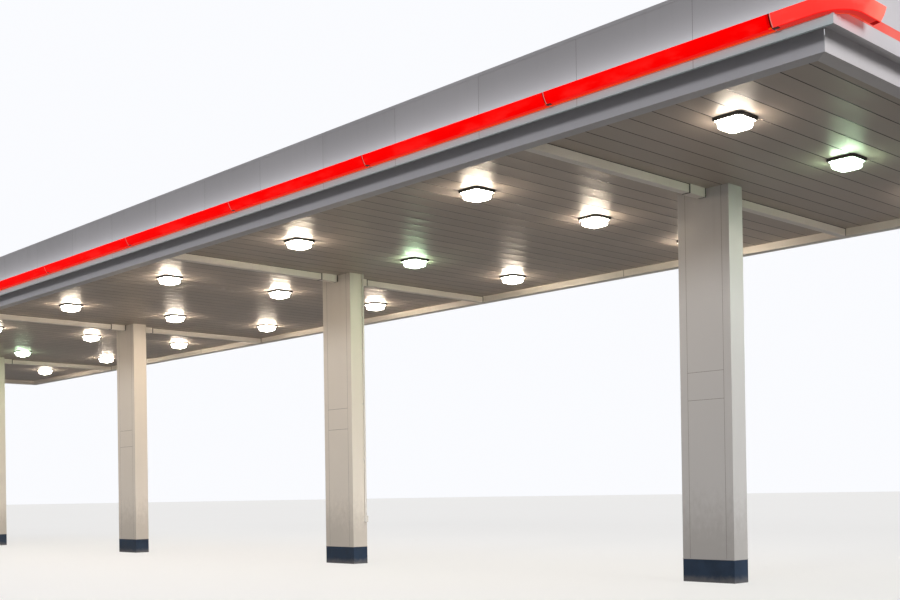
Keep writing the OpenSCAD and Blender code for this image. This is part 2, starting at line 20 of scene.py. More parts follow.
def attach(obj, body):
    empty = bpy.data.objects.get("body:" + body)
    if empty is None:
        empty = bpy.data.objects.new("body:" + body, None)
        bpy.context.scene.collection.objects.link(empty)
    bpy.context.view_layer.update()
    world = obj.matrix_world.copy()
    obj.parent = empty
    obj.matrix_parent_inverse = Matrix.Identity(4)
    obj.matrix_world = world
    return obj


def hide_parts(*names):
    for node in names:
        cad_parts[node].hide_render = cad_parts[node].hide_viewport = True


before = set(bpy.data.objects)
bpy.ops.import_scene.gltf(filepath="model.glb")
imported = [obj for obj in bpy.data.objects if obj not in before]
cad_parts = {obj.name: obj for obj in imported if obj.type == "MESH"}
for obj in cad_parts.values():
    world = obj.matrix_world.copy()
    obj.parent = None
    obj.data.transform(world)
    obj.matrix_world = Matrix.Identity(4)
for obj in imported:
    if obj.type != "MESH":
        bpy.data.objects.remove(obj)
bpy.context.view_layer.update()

Point = tuple[float, float, float]
Colour = tuple[float, float, float]
Ring = Sequence[Sequence[float]]
Socket = bpy.types.NodeSocket
Material = bpy.types.Material
Piece = bpy.types.Object

BOTH = (-1, 1)
MIXED: dict[str, Material] = {}

log = logging.getLogger("canopy")


class Axis(Enum):
    """Level direction that a row of panels follows."""

    ALONG = 0
    ACROSS = 1


class Tint(Enum):
    """Colour of the light that one lamp gives."""

    WARM = (1.0, 0.87, 0.70)
    AMBER = (1.0, 0.815, 0.60)
    GREEN = (0.55, 1.0, 0.50)


class Side(Enum):
    """Side of the canopy, with the turn from the front to it."""

    FRONT = 0
    RIGHT = 90
    REAR = 180
    LEFT = 270


@dataclass(frozen=True)
class Layout:
    """Sizes that several sub-assemblies share."""

    half_length: float = 16.764
    half_width: float = 3.870
    column_x: tuple[float, ...] = (12.8016, 4.8768, -3.048, -10.9728)
    pan_pitch: float = 0.3048
    end_margin: float = 0.30
    deck_z: float = 5.190
    under_deck: float = 5.189
    steel_z: float = 5.2663
    purlin_lines: tuple[float, ...] = (0.660, 1.980, 3.300)
    purlin_half: float = 0.060
    fascia_low: float = 5.220
    fascia_top: float = 5.960
    clearance: float = 0.0003

    def seams(self) -> list[float]:
        """Places of the pan seams along the canopy.

        Returns:
            The places, from the left end to the right.
        """
        start, reach = self.column_x[3], self.half_length - self.end_margin
        first = math.ceil((-reach - start) / self.pan_pitch)
        last = math.floor((reach - start) / self.pan_pitch)
        return [start + i * self.pan_pitch for i in range(first, last + 1)]

    def beside_column(self, x: float, reach: float) -> bool:
        """Whether a place along the canopy is within reach of a column's middle."""
        return min(abs(x - column) for column in self.column_x) < reach

    def half_side(self, side: Side) -> float:
        """Half the length of one side."""
        return self.half_length if side in (Side.FRONT, Side.REAR) else self.half_width


LAYOUT = Layout()


class Graph:
    """Node graph of one finish, with short calls for the nodes that the finishes use."""

    def __init__(self, name: str) -> None:
        """Starts a material with one shader.

        Args:
            name: Name of the material.
        """
        self.material = bpy.data.materials.new(name)
        self.material.use_nodes = True
        self.tree = self.material.node_tree
        self.tree.nodes.clear()
        output = self.node("ShaderNodeOutputMaterial")
        self.shader = self.node("ShaderNodeBsdfPrincipled")
        self.tree.links.new(self.shader.outputs["BSDF"], output.inputs["Surface"])
        self.place = self.node("ShaderNodeTexCoord").outputs["Object"]
        split = self.node("ShaderNodeSeparateXYZ")
        self.tree.links.new(self.place, split.inputs[0])
        self.along, self.across, self.up = split.outputs

    def node(self, kind: str) -> bpy.types.Node:
        """Adds a node of one kind."""
        return self.tree.nodes.new(kind)

    def feed(self, socket: Socket, value: object) -> None:
        """Sets a socket to a value, or links it where the value is another node's output.

        Args:
            socket: Socket that takes the value.
            value: Number, colour or vector, or the output of another node.
        """
        if isinstance(value, Socket):
            self.tree.links.new(value, socket)
        else:
            socket.default_value = (*value, 1.0) if socket.type == "RGBA" else value

    def set(self, name: str, value: object) -> None:
        """Sets or links one socket of the shader."""
        self.feed(self.shader.inputs[name], value)

    def noise(self, scale: float, detail: float = 3.0, rough: float = 0.5,
              stretch: Point = (1, 1, 1)) -> Socket:
        """Cloudy noise over the object.

        Args:
            scale: Cells in a metre.
            detail: Number of finer layers.
            rough: Strength of the finer layers.
            stretch: Factors on the three directions before the noise is read.

        Returns:
            The noise value, about 0 to 1.
        """
        mapping = self.node("ShaderNodeMapping")
        self.feed(mapping.inputs["Vector"], self.place)
        mapping.inputs["Scale"].default_value = stretch
        texture = self.node("ShaderNodeTexNoise")
        self.feed(texture.inputs["Vector"], mapping.outputs[0])
        for name, number in (("Scale", scale), ("Detail", detail), ("Roughness", rough)):
            texture.inputs[name].default_value = number
        return texture.outputs["Fac"]

    def cells(self, scale: float) -> Socket:
        """Cells over the object, each of a random colour.

        Args:
            scale: Cells in a metre.

        Returns:
            The colour of the cell.
        """
        texture = self.node("ShaderNodeTexVoronoi")
        self.feed(texture.inputs["Vector"], self.place)
        texture.inputs["Scale"].default_value = scale
        return texture.outputs["Color"]

    def math(self, operation: str, first: object, *others: object) -> Socket:
        """Arithmetic of one kind over values in turn; the other value is 0 where none is given.

        Args:
            operation: Name of the operation, such as ADD.
            first: First value.
            others: Values that follow it.

        Returns:
            The result.
        """
        total = first
        for other in others or (0.0,):
            step = self.node("ShaderNodeMath")
            step.operation = operation
            self.feed(step.inputs[0], total)
            self.feed(step.inputs[1], other)
            total = step.outputs[0]
        return total

    def sum(self, *parts: object) -> Socket:
        """Adds values together."""
        return self.math("ADD", *parts)

    def times(self, *parts: object) -> Socket:
        """Multiplies values together."""
        return self.math("MULTIPLY", *parts)

    def span(self, value: object, low: float, high: float,
             at_low: float = 0.0, at_high: float = 1.0) -> Socket:
        """Smooth step of a value between two limits.

        Args:
            value: What is read.
            low: Limit where the step starts.
            high: Limit where it ends.
            at_low: Result at and under the first limit.
            at_high: Result at and over the second limit.

        Returns:
            The stepped value.
        """
        step = self.node("ShaderNodeMapRange")
        step.interpolation_type = "SMOOTHSTEP"
        self.feed(step.inputs["Value"], value)
        for name, number in zip(("From Min", "From Max", "To Min", "To Max"), (low, high, at_low, at_high)):
            step.inputs[name].default_value = number
        return step.outputs["Result"]

    def mix(self, share: object, first: object, second: object) -> Socket:
        """Mixes two colours by a share of the second.

        Args:
            share: Share of the second colour.
            first: First colour.
            second: Second colour.

        Returns:
            The mixed colour.
        """
        step = self.node("ShaderNodeMix")
        step.data_type = "RGBA"
        for number, value in ((0, share), (6, first), (7, second)):
            self.feed(step.inputs[number], value)
        return step.outputs[2]

    def shade(self, colour: object, factor: object) -> Socket:
        """Makes a colour lighter or darker by a factor.

        Args:
            colour: Colour to change.
            factor: Factor on its brightness.

        Returns:
            The changed colour.
        """
        step = self.node("ShaderNodeHueSaturation")
        self.feed(step.inputs["Value"], factor)
        self.feed(step.inputs["Color"], colour)
        return step.outputs[0]

    def panel_tone(self, panels: Panels) -> Socket:
        """Small random change of tone from panel to panel, about zero.

        Args:
            panels: The row of panels.

        Returns:
            The change of tone.
        """
        source = (self.along, self.across)[panels.axis.value]
        place = self.math("DIVIDE", self.math("SUBTRACT", source, panels.start), panels.pitch)
        pick = self.node("ShaderNodeTexWhiteNoise")
        pick.noise_dimensions = "1D"
        self.feed(pick.inputs["W"], self.math("FLOOR", place))
        return self.times(self.math("SUBTRACT", pick.outputs["Value"], 0.5), panels.spread)

    def relief(self, height: object, depth: float, under: Socket | None = None) -> Socket:
        """Relief of a surface.

        Args:
            height: Pattern of the relief.
            depth: Depth of the relief in metres.
            under: Coarser relief that this one lies on.

        Returns:
            The normal to shade with.
        """
        step = self.node("ShaderNodeBump")
        step.inputs["Strength"].default_value = 1.0
        step.inputs["Distance"].default_value = depth
        self.feed(step.inputs["Height"], height)
        if under is not None:
            self.feed(step.inputs["Normal"], under)
        return step.outputs[0]

    def finish(self, colour: object, roughness: object, normal: object = None) -> Material:
        """Links the colour, roughness and relief to the shader and gives the material.

        Args:
            colour: Base colour.
            roughness: Roughness of the surface.
            normal: Relief, where there is one.

        Returns:
            The material.
        """
        self.set("Base Color", colour)
        self.set("Roughness", roughness)
        if normal is not None:
            self.set("Normal", normal)
        return self.material


@dataclass(frozen=True)
class Panels:
    """Row of panels that differ a little in tone."""

    axis: Axis
    start: float
    pitch: float
    spread: float


@dataclass(frozen=True)
class Finish:
    """Base of every finish."""

    name: str
    colour: Colour
    roughness: float = 0.5

    def material(self) -> Material:
        """The finish as a material, made once.

        Returns:
            The material.
        """
        if self.name not in MIXED:
            MIXED[self.name] = self.make()
        return MIXED[self.name]

    def make(self) -> Material:
        """Plain paint with a slight cloud, for small fixings.

        Returns:
            The material.
        """
        graph = Graph(self.name)
        cloud = graph.noise(35.0, 4.0, 0.6)
        colour = graph.shade(self.colour, graph.span(cloud, 0.25, 0.75, 0.85, 1.12))
        rough = graph.span(cloud, 0.2, 0.8, self.roughness - 0.08, self.roughness + 0.1)
        return graph.finish(colour, rough, graph.relief(graph.noise(600.0, 2.0), 0.00006))


@dataclass(frozen=True)
class SheetPaint(Finish):
    """Baked paint on flat sheet, with tone steps, runs of soiling and slight waves; where asked, painted shade
    darkens it towards the top and a painted cool tint lightens the strip under the light bar.
    """

    panels: Panels | None = None
    dirt_and_painted_shade: Colour = (0.20, 0.18, 0.16)
    runs: float = 0.10
    runs_top: float = 6.0
    runs_reach: float = 0.6
    foot: float = 0.0
    foot_reach: float = 0.0
    wave: float = 0.0012
    gloss: float = 0.5
    # Darkening towards the top between two heights: slight soiling where weak, mostly painted shade where strong.
    painted_shade_and_soiling: float = 0.0
    painted_shade_and_soiling_low: float = 5.30
    painted_shade_and_soiling_high: float = 5.90
    # Painted light: a paler, cool tint for the strip under the light bar, and the height where it stops.
    painted_light_under_bar: Colour | None = None
    painted_light_under_bar_top: float = 5.308

    def make(self) -> Material:
        """Builds the paint.

        Returns:
            The material.
        """
        graph = Graph(self.name)
        tone = graph.sum(1.0, graph.times(graph.math("SUBTRACT", graph.noise(0.8, 2.0), 0.5), 0.07))
        # Darker towards the top: slight soiling on most sides, on the front mostly painted shade.
        if self.painted_shade_and_soiling:
            tone = graph.sum(tone, graph.span(graph.up, self.painted_shade_and_soiling_low, self.painted_shade_and_soiling_high, 0.0, -self.painted_shade_and_soiling))
        if self.panels:
            tone = graph.sum(tone, graph.panel_tone(self.panels))
        colour = self.colour
        # Painted light: the strip under the light bar gets a paler, cool tint that cancels the bar's red light on
        # it.
        if self.painted_light_under_bar:
            share = graph.span(graph.up, self.painted_light_under_bar_top - 0.004, self.painted_light_under_bar_top + 0.004, 1.0, 0.0)
            colour = graph.mix(share, colour, self.painted_light_under_bar)
        colour = graph.shade(colour, tone)
        drips = graph.span(graph.noise(9.0, 5.0, 0.65, (1.0, 1.0, 0.05)), 0.48, 0.80)
        near_top = graph.span(graph.up, self.runs_top - self.runs_reach, self.runs_top)
        specks = graph.span(graph.noise(60.0, 4.0, 0.7), 0.66, 0.80, 0.0, 0.10)
        share = graph.sum(graph.times(drips, near_top, self.runs), specks)
        if self.foot:
            splash = graph.times(graph.noise(14.0, 5.0, 0.7, (1.0, 1.0, 0.5)), -self.foot_reach)
            height = graph.sum(graph.up, splash)
            share = graph.sum(share, graph.span(height, 0.0, self.foot_reach, self.foot, 0.0))
        colour = graph.mix(share, colour, self.dirt_and_painted_shade)
        rough = graph.span(graph.noise(5.0, 4.0), 0.3, 0.7, self.roughness - 0.05, self.roughness + 0.07)
        slow = graph.relief(graph.noise(1.4, 1.0, 0.4, (1.0, 1.0, 1.3)), self.wave)
        graph.set("Specular IOR Level", self.gloss)
        return graph.finish(colour, graph.sum(rough, share),
                            graph.relief(graph.noise(420.0, 2.0), 0.00004, slow))


@dataclass(frozen=True)
class DeckPaint(Finish):
    """Semi-gloss paint on rolled deck pans, each pan slightly bowed, with painted shade along the seams."""

    panels: Panels = Panels(Axis.ALONG, LAYOUT.column_x[3], LAYOUT.pan_pitch, 0.09)
    bow: float = 0.0010
    hem: float = 0.0007
    ripple: float = 0.0006
    # Colour of the painted shade along the pan seams.
    dirt_and_painted_shade: Colour = (0.035, 0.030, 0.027)
    gloss: float = 0.5

    def make(self) -> Material:
        """Builds the paint.

        Returns:
            The material.
        """
        graph = Graph(self.name)
        film = graph.noise(9.0, 3.0, 0.55, (1.0, 0.35, 1.0))
        tone = graph.sum(
            graph.span(film, 0.3, 0.7, 0.98, 1.02),
            graph.panel_tone(self.panels),
            graph.span(graph.noise(0.5), 0.3, 0.7, -0.04, 0.04))
        place = graph.math("DIVIDE", graph.math("SUBTRACT", graph.along, self.panels.start), self.panels.pitch)
        turn = graph.math("COSINE", graph.times(place, 2.0 * math.pi))
        # Painted shade: a dark band along each pan seam stands in for the shade in the seam's slot.
        colour = graph.mix(graph.span(turn, 0.984, 0.996), graph.shade(self.colour, tone), self.dirt_and_painted_shade)
        rough = graph.span(film, 0.3, 0.7, self.roughness - 0.03, self.roughness + 0.04)
        hem = graph.relief(graph.span(turn, 0.978, 1.0), self.hem)
        bowed = graph.relief(turn, self.bow, hem)
        ripple = graph.relief(graph.noise(1.5, 1.0, 0.5, (1.0, 1.5, 1.0)), self.ripple, bowed)
        graph.set("Specular IOR Level", self.gloss)
        return graph.finish(colour, rough, graph.relief(graph.noise(380.0, 2.0), 0.00002, ripple))


@dataclass(frozen=True)
class PrimedSteel(Finish):
    """Shop primer on rolled steel, with rust freckles at edges and under fixings."""

    rust: Colour = (0.20, 0.085, 0.035)
    rust_share: float = 0.6

    def make(self) -> Material:
        """Builds the primer.

        Returns:
            The material.
        """
        graph = Graph(self.name)
        cloud = graph.noise(2.5, 4.0, 0.6)
        colour = graph.shade(self.colour, graph.span(cloud, 0.3, 0.7, 0.88, 1.08))
        freckle = graph.times(graph.span(graph.noise(28.0, 6.0, 0.72), 0.60, 0.70, 0.0, self.rust_share),
                              graph.span(graph.noise(1.1), 0.42, 0.62))
        rough = graph.sum(graph.span(cloud, 0.2, 0.8, self.roughness - 0.05, self.roughness + 0.08),
                          graph.times(freckle, 0.3))
        normal = graph.relief(graph.noise(180.0), 0.0001)
        return graph.finish(graph.mix(freckle, colour, self.rust), rough, normal)


@dataclass(frozen=True)
class Galvanised(Finish):
    """Hot dip zinc with its crystal spangle and dull patches."""

    spangle: float = 70.0
    dull_colour: Colour = (0.52, 0.53, 0.54)
    metallic: float = 0.55

    def make(self) -> Material:
        """Builds the zinc.

        Returns:
            The material.
        """
        graph = Graph(self.name)
        split = graph.node("ShaderNodeSeparateColor")
        graph.feed(split.inputs[0], graph.cells(self.spangle))
        flake = split.outputs[0]
        dull = graph.span(graph.noise(3.0, 5.0, 0.65), 0.45, 0.65)
        colour = graph.shade(self.colour, graph.span(flake, 0.0, 1.0, 0.84, 1.12))
        colour = graph.mix(graph.times(dull, 0.4), colour, self.dull_colour)
        rough = graph.sum(graph.span(flake, 0.0, 1.0, self.roughness - 0.1, self.roughness + 0.08),
                          graph.times(dull, 0.15))
        graph.set("Metallic", self.metallic)
        return graph.finish(colour, rough, graph.relief(graph.noise(90.0), 0.00015))


@dataclass(frozen=True)
class WrapPaint(Finish):
    """Dark paint at the foot of a column, chipped and dusty near the ground."""

    dust: Colour = (0.24, 0.22, 0.20)
    gloss: float = 0.3

    def make(self) -> Material:
        """Builds the paint.

        Returns:
            The material.
        """
        graph = Graph(self.name)
        scratch = graph.span(graph.noise(24.0, 6.0, 0.75, (0.35, 0.35, 2.6)), 0.62, 0.72, 0.0, 0.35)
        height = graph.sum(graph.up, graph.times(graph.noise(11.0, 5.0, 0.7), -0.12))
        share = graph.math("MAXIMUM", scratch, graph.span(height, -0.06, 0.05, 0.45, 0.0))
        cloud = graph.noise(5.0, 4.0, 0.6)
        colour = graph.shade(self.colour, graph.span(cloud, 0.3, 0.7, 0.86, 1.15))
        rough = graph.sum(graph.span(cloud, 0.3, 0.7, self.roughness - 0.05, self.roughness + 0.08),
                          graph.times(share, 0.5))
        graph.set("Specular IOR Level", self.gloss)
        return graph.finish(graph.mix(share, colour, self.dust), rough,
                            graph.relief(graph.noise(300.0), 0.00008))


@dataclass(frozen=True)
class LitCover(Finish):
    """Coloured cover of the light bar, lit from inside."""

    glow: float = 0.78
    edge: Colour = (1.0, 0.10, 0.0)
    low: float = 5.317
    edge_z: float = 0.013
    patch: Colour = (1.0, 0.018, 0.014)
    patch_share: float = 0.6
    # Painted reflection: a paler colour towards one end of the cover, and the span over which it comes in.
    painted_sheen: Colour | None = None
    painted_sheen_from: float = -3.70
    painted_sheen_to: float = -3.26
    gloss: float = 0.03

    def make(self) -> Material:
        """Builds the cover.

        Returns:
            The material.
        """
        graph = Graph(self.name)
        lit: object = self.colour
        if self.patch_share:
            patches = graph.noise(1.6, 4.0, 0.65, (1.0, 1.0, 3.0))
            share = graph.times(graph.span(patches, 0.46, 0.66, 0.0, self.patch_share),
                                graph.span(graph.up, self.low + 0.02, self.low + 0.12, 1.0, 0.25))
            lit = graph.mix(share, lit, self.patch)
        # Painted reflection: towards its side end the corner cover turns paler and pinker, for the sky's
        # reflection.
        if self.painted_sheen:
            place = graph.sum(graph.across, graph.times(graph.noise(6.0), 0.2))
            lit = graph.mix(graph.span(place, self.painted_sheen_from, self.painted_sheen_to, 0.0, 0.9), lit, self.painted_sheen)
        if self.edge_z:
            lit = graph.mix(graph.span(graph.up, self.low, self.low + self.edge_z, 1.0, 0.0), lit, self.edge)
        grain = graph.noise(30.0, 4.0, 0.6)
        lit = graph.shade(lit, graph.span(grain, 0.2, 0.8, 0.95, 1.0))
        rough = graph.span(grain, 0.3, 0.7, self.roughness - 0.04, self.roughness + 0.08)
        graph.set("Emission Color", lit)
        graph.set("Emission Strength", self.glow)
        graph.set("Specular IOR Level", self.gloss)
        slow = graph.relief(graph.noise(2.2, 2.0, 0.5, (1.0, 1.0, 2.0)), 0.001)
        return graph.finish(lit, rough, graph.relief(graph.noise(250.0, 2.0), 0.00004, slow))


@dataclass(frozen=True)
class Film(Finish):
    """Coloured film on the flat fascia, faded a little in clouds."""

    faded: Colour = (0.93, 0.30, 0.24)

    def make(self) -> Material:
        """Builds the film.

        Returns:
            The material.
        """
        graph = Graph(self.name)
        cloud = graph.noise(1.1, 4.0, 0.6)
        specks = graph.span(graph.noise(70.0, 4.0, 0.7), 0.62, 0.78, 0.0, 0.25)
        share = graph.sum(graph.span(cloud, 0.35, 0.75, 0.0, 0.5), specks)
        colour = graph.mix(share, self.colour, self.faded)
        rough = graph.span(cloud, 0.2, 0.8, self.roughness - 0.05, self.roughness + 0.1)
        return graph.finish(colour, rough, graph.relief(graph.noise(160.0), 0.00005))


@dataclass(frozen=True)
class LensGlow(Finish):
    """Prismatic lens over a lit bulb, or its facet that throws the light."""

    tint: Tint = Tint.WARM
    pale: float = 0.4
    strength: float = 6.0
    clear: float = 0.5
    prism: float = 0.006
    throws: bool = False
    dust: Colour = (0.55, 0.50, 0.44)

    def make(self) -> Material:
        """Builds the lens.

        Returns:
            The material.
        """
        graph = Graph(self.name)
        rate = 2.0 * math.pi / self.prism
        pattern = graph.times(*(graph.math("SINE", graph.times(source, rate))
                                for source in (graph.along, graph.across, graph.up)))
        pale = tuple(c + (1.0 - c) * self.pale for c in self.tint.value)
        graph.set("Emission Color", graph.shade(pale, graph.span(pattern, -1.0, 1.0, 0.9, 1.0)))
        graph.set("Emission Strength", self.strength)
        graph.set("Alpha", 1.0 - self.clear)
        graph.material.cycles.emission_sampling = "FRONT" if self.throws else "NONE"
        share = graph.span(graph.noise(12.0, 5.0, 0.7), 0.45, 0.8, 0.0, 0.3)
        rough = graph.sum(self.roughness, graph.times(share, 0.4))
        return graph.finish(graph.mix(share, self.colour, self.dust), rough, graph.relief(pattern, 0.0004))


@dataclass(frozen=True)
class BulbGlow(Finish):
    """Coated bulb behind the lens."""

    tint: Tint = Tint.WARM
    strength: float = 10.0

    def make(self) -> Material:
        """Builds the bulb.

        Returns:
            The material.
        """
        graph = Graph(self.name)
        coat = graph.span(graph.noise(25.0), 0.3, 0.7, 0.9, 1.0)
        graph.set("Emission Color", graph.shade(self.tint.value, coat))
        graph.set("Emission Strength", self.strength)
        graph.material.cycles.emission_sampling = "NONE"
        return graph.finish(self.colour, graph.span(coat, 0.9, 1.0, self.roughness, self.roughness + 0.1))


@dataclass(frozen=True)
class FloorFinish(Finish):
    """Pale plain floor, seen paler by the camera than its own light makes it."""

    lift: float = 0.45
    lift_colour: Colour = (1.0, 0.995, 0.985)
    glossy_share: float = 0.15

    def make(self) -> Material:
        """Builds the floor.

        Returns:
            The material.
        """
        graph = Graph(self.name)
        colour = graph.shade(self.colour, graph.span(graph.noise(0.15), 0.3, 0.7, 0.985, 1.01))
        path = graph.node("ShaderNodeLightPath")
        seen = graph.math("MAXIMUM", path.outputs["Is Camera Ray"],
                          graph.times(path.outputs["Is Glossy Ray"], self.glossy_share),
                          path.outputs["Is Transmission Ray"])
        graph.set("Emission Color", self.lift_colour)
        graph.set("Emission Strength", graph.times(seen, self.lift))
        return graph.finish(colour, self.roughness)


class Workpiece:
    """Points and faces of one piece while it is made."""

    def __init__(self) -> None:
        """Starts with nothing."""
        self.points: list[Point] = []
        self.faces: list[tuple[int, ...]] = []
        self.finishes: list[int] = []

    def ring(self, points: Iterable[Sequence[float]]) -> list[int]:
        """Adds points and gives their numbers.

        Args:
            points: The points in order.

        Returns:
            Their numbers.
        """
        first = len(self.points)
        self.points.extend(tuple(p) for p in points)
        return list(range(first, len(self.points)))

    def face(self, numbers: Sequence[int], finish: int = 0) -> None:
        """Adds one face."""
        self.faces.append(tuple(numbers))
        self.finishes.append(finish)

    def box(self, x: Sequence[float], y: Sequence[float], z: Sequence[float], finish: int = 0) -> None:
        """Adds a closed box.

        Args:
            x: Its two ends along X, in any order.
            y: Its two ends along Y.
            z: Its two ends along Z.
            finish: Number of the finish.
        """
        (x0, x1), (y0, y1), (z0, z1) = sorted(x), sorted(y), sorted(z)
        n = self.ring([(x0, y0, z0), (x1, y0, z0), (x1, y1, z0), (x0, y1, z0),
                       (x0, y0, z1), (x1, y0, z1), (x1, y1, z1), (x0, y1, z1)])
        for a, b, c, d in ((0, 3, 2, 1), (4, 5, 6, 7), (0, 1, 5, 4), (1, 2, 6, 5), (2, 3, 7, 6), (3, 0, 4, 7)):
            self.face((n[a], n[b], n[c], n[d]), finish)

    def skin(self, lower: Sequence[int], upper: Sequence[int], finishes: Sequence[int]) -> None:
        """Adds the faces between two rings, each with its finish.

        Args:
            lower: Numbers of the points of the first ring.
            upper: Numbers of the points of the second ring.
            finishes: Number of the finish of each face.
        """
        for i, finish in enumerate(finishes):
            j = (i + 1) % len(lower)
            self.face((lower[i], lower[j], upper[j], upper[i]), finish)

    def loft(self, rings: Sequence[Ring], capped: tuple[bool, bool] = (True, True),
             finish: int = 0, finish_by_edge: Sequence[int] | None = None) -> None:
        """Joins rings of equal length into a skin.

        Args:
            rings: The rings in order.
            capped: Whether the first and the last ring are closed by a face.
            finish: Number of the finish of the skin.
            finish_by_edge: Numbers of the finishes round the ring, where they differ.
        """
        numbered = [self.ring(r) for r in rings]
        for lower, upper in zip(numbered, numbered[1:]):
            self.skin(lower, upper, finish_by_edge or [finish] * len(lower))
        if capped[0]:
            self.face(numbered[0][::-1], finish)
        if capped[1]:
            self.face(numbered[-1], finish)

    def band(self, rings: Sequence[Ring], finishes: Sequence[int]) -> None:
        """Joins rings into a closed band, the last one to the first.

        Args:
            rings: The rings, in order round the section of the band.
            finishes: Number of the finish from each ring to the next.
        """
        numbered = [self.ring(r) for r in rings]
        for lower, upper, finish in zip(numbered, numbered[1:] + numbered[:1], finishes):
            self.skin(lower, upper, [finish] * len(lower))

    def turned(self, centre: Vector, axis: Vector, profile: Sequence[tuple[float, float]],
               sides: int, finish: int = 0) -> None:
        """Adds a body with a straight axis, such as a bolt head or a rivet.

        Args:
            centre: Foot of the body.
            axis: Direction in which it stands.
            profile: Pairs of distance along the axis and radius.
            sides: Sides of every ring.
            finish: Number of the finish.
        """
        axis = Vector(axis).normalized()
        first = axis.orthogonal().normalized()
        second = axis.cross(first)
        turns = [2.0 * math.pi * i / sides for i in range(sides)]
        self.loft([[Vector(centre) + axis * along + (first * math.cos(a) + second * math.sin(a)) * radius
                    for a in turns] for along, radius in profile], (True, True), finish)

    def bolt(self, centre: Sequence[float], axis: Sequence[float], size: float) -> None:
        """Adds a hexagon head with its washer, standing along an axis.

        Args:
            centre: Foot of the head.
            axis: Direction in which it stands.
            size: Radius of the head over its corners, about.
        """
        self.turned(centre, axis, ((0.0, size * 1.05), (size * 0.16, size * 1.05)), 20)
        self.turned(Vector(centre) + Vector(axis).normalized() * size * 0.16, axis,
                    ((0.0, size * 0.92), (size * 0.55, size * 0.92), (size * 0.66, size * 0.78)), 6)

    def screw(self, centre: Sequence[float], axis: Sequence[float], size: float) -> None:
        """Adds a low domed screw or rivet head, standing along an axis."""
        self.turned(centre, axis, ((0.0, size), (size * 0.25, size * 0.96), (size * 0.5, size * 0.72),
                                   (size * 0.62, size * 0.3)), 12)

    def to_object(self, name: str, finishes: Sequence[Finish], smooth: float = 35.0) -> Piece:
        """Makes the object.

        Args:
            name: Name of the piece.
            finishes: Its finishes, in the order of their numbers.
            smooth: Angle in degrees under which faces shade as one surface.

        Returns:
            The new object.
        """
        mesh = bpy.data.meshes.new(name)
        mesh.from_pydata([tuple(p) for p in self.points], [], self.faces)
        for finish in finishes:
            mesh.materials.append(finish.material())
        for polygon, number in zip(mesh.polygons, self.finishes):
            polygon.material_index = number
            polygon.use_smooth = True
        mesh.validate()
        shell = bmesh.new()
        shell.from_mesh(mesh)
        bmesh.ops.recalc_face_normals(shell, faces=shell.faces)
        shell.to_mesh(mesh)
        shell.free()
        mesh.set_sharp_from_angle(angle=math.radians(smooth))
        piece = bpy.data.objects.new(name, mesh)
        bpy.context.scene.collection.objects.link(piece)
        return piece


def round_square(centre: Point, side: float, radius: float, steps: int = 8) -> list[Point]:
    """Square ring with round corners, level, counted from the corner at +X +Y.

    Args:
        centre: Middle of the ring.
        side: Outer side.
        radius: Radius of the corners.
        steps: Steps in each corner.

    Returns:
        The points of the ring.
    """
    half = side / 2.0 - radius
    ring = []
    for quarter, (sx, sy) in enumerate(((1, 1), (-1, 1), (-1, -1), (1, -1))):
        for i in range(steps + 1):
            angle = math.radians(90.0 * quarter + 90.0 * i / steps)
            ring.append((centre[0] + sx * half + radius * math.cos(angle),
                         centre[1] + sy * half + radius * math.sin(angle), centre[2]))
    return ring
def away(centre: float, sign: int, *distances: float) -> list[float]:
    """Places at given distances from a centre, on one side of it."""
    return [centre + sign * distance for distance in distances]


def on_side(side: Side, along: float, inward: float, up: float) -> Point:
    """Point given along a side from its middle, inward from its face and up.

    Args:
        side: Side of the canopy.
        along: Distance from the middle of the side, to the right as seen from outside.
        inward: Distance in from the fascia face.
        up: Height above the ground.

    Returns:
        The point in the frame of the model.
    """
    reach = LAYOUT.half_width if side in (Side.FRONT, Side.REAR) else LAYOUT.half_length
    turn = math.radians(side.value)
    x, y = along, -reach + inward
    return (x * math.cos(turn) - y * math.sin(turn), x * math.sin(turn) + y * math.cos(turn), up)


@dataclass
class SubAssembly:
    """Part of the canopy that is built and dressed together."""

    made: list[str] = field(default_factory=list, init=False)

    def keep(self, node: str, finish: Finish) -> None:
        """Gives a node of the model its finish.

        Args:
            node: Name of the node.
            finish: Finish for all of its slots.
        """
        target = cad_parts[node]
        for slot in target.material_slots:
            slot.material = finish.material()
        self.made.append(node)

    def add(self, piece: Piece, slot: str, stands_for: Sequence[str] = ()) -> None:
        """Lets a new piece ride and stand for the nodes it replaces.

        Args:
            piece: The new piece.
            slot: Slot of the model meant for it; not used.
            stands_for: Nodes that it replaces.
        """
        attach(piece, "root")
        if stands_for:
            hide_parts(*stands_for)
        self.made.append(piece.name)

    def build(self) -> None:
        """Builds and dresses the sub-assembly."""
        raise NotImplementedError


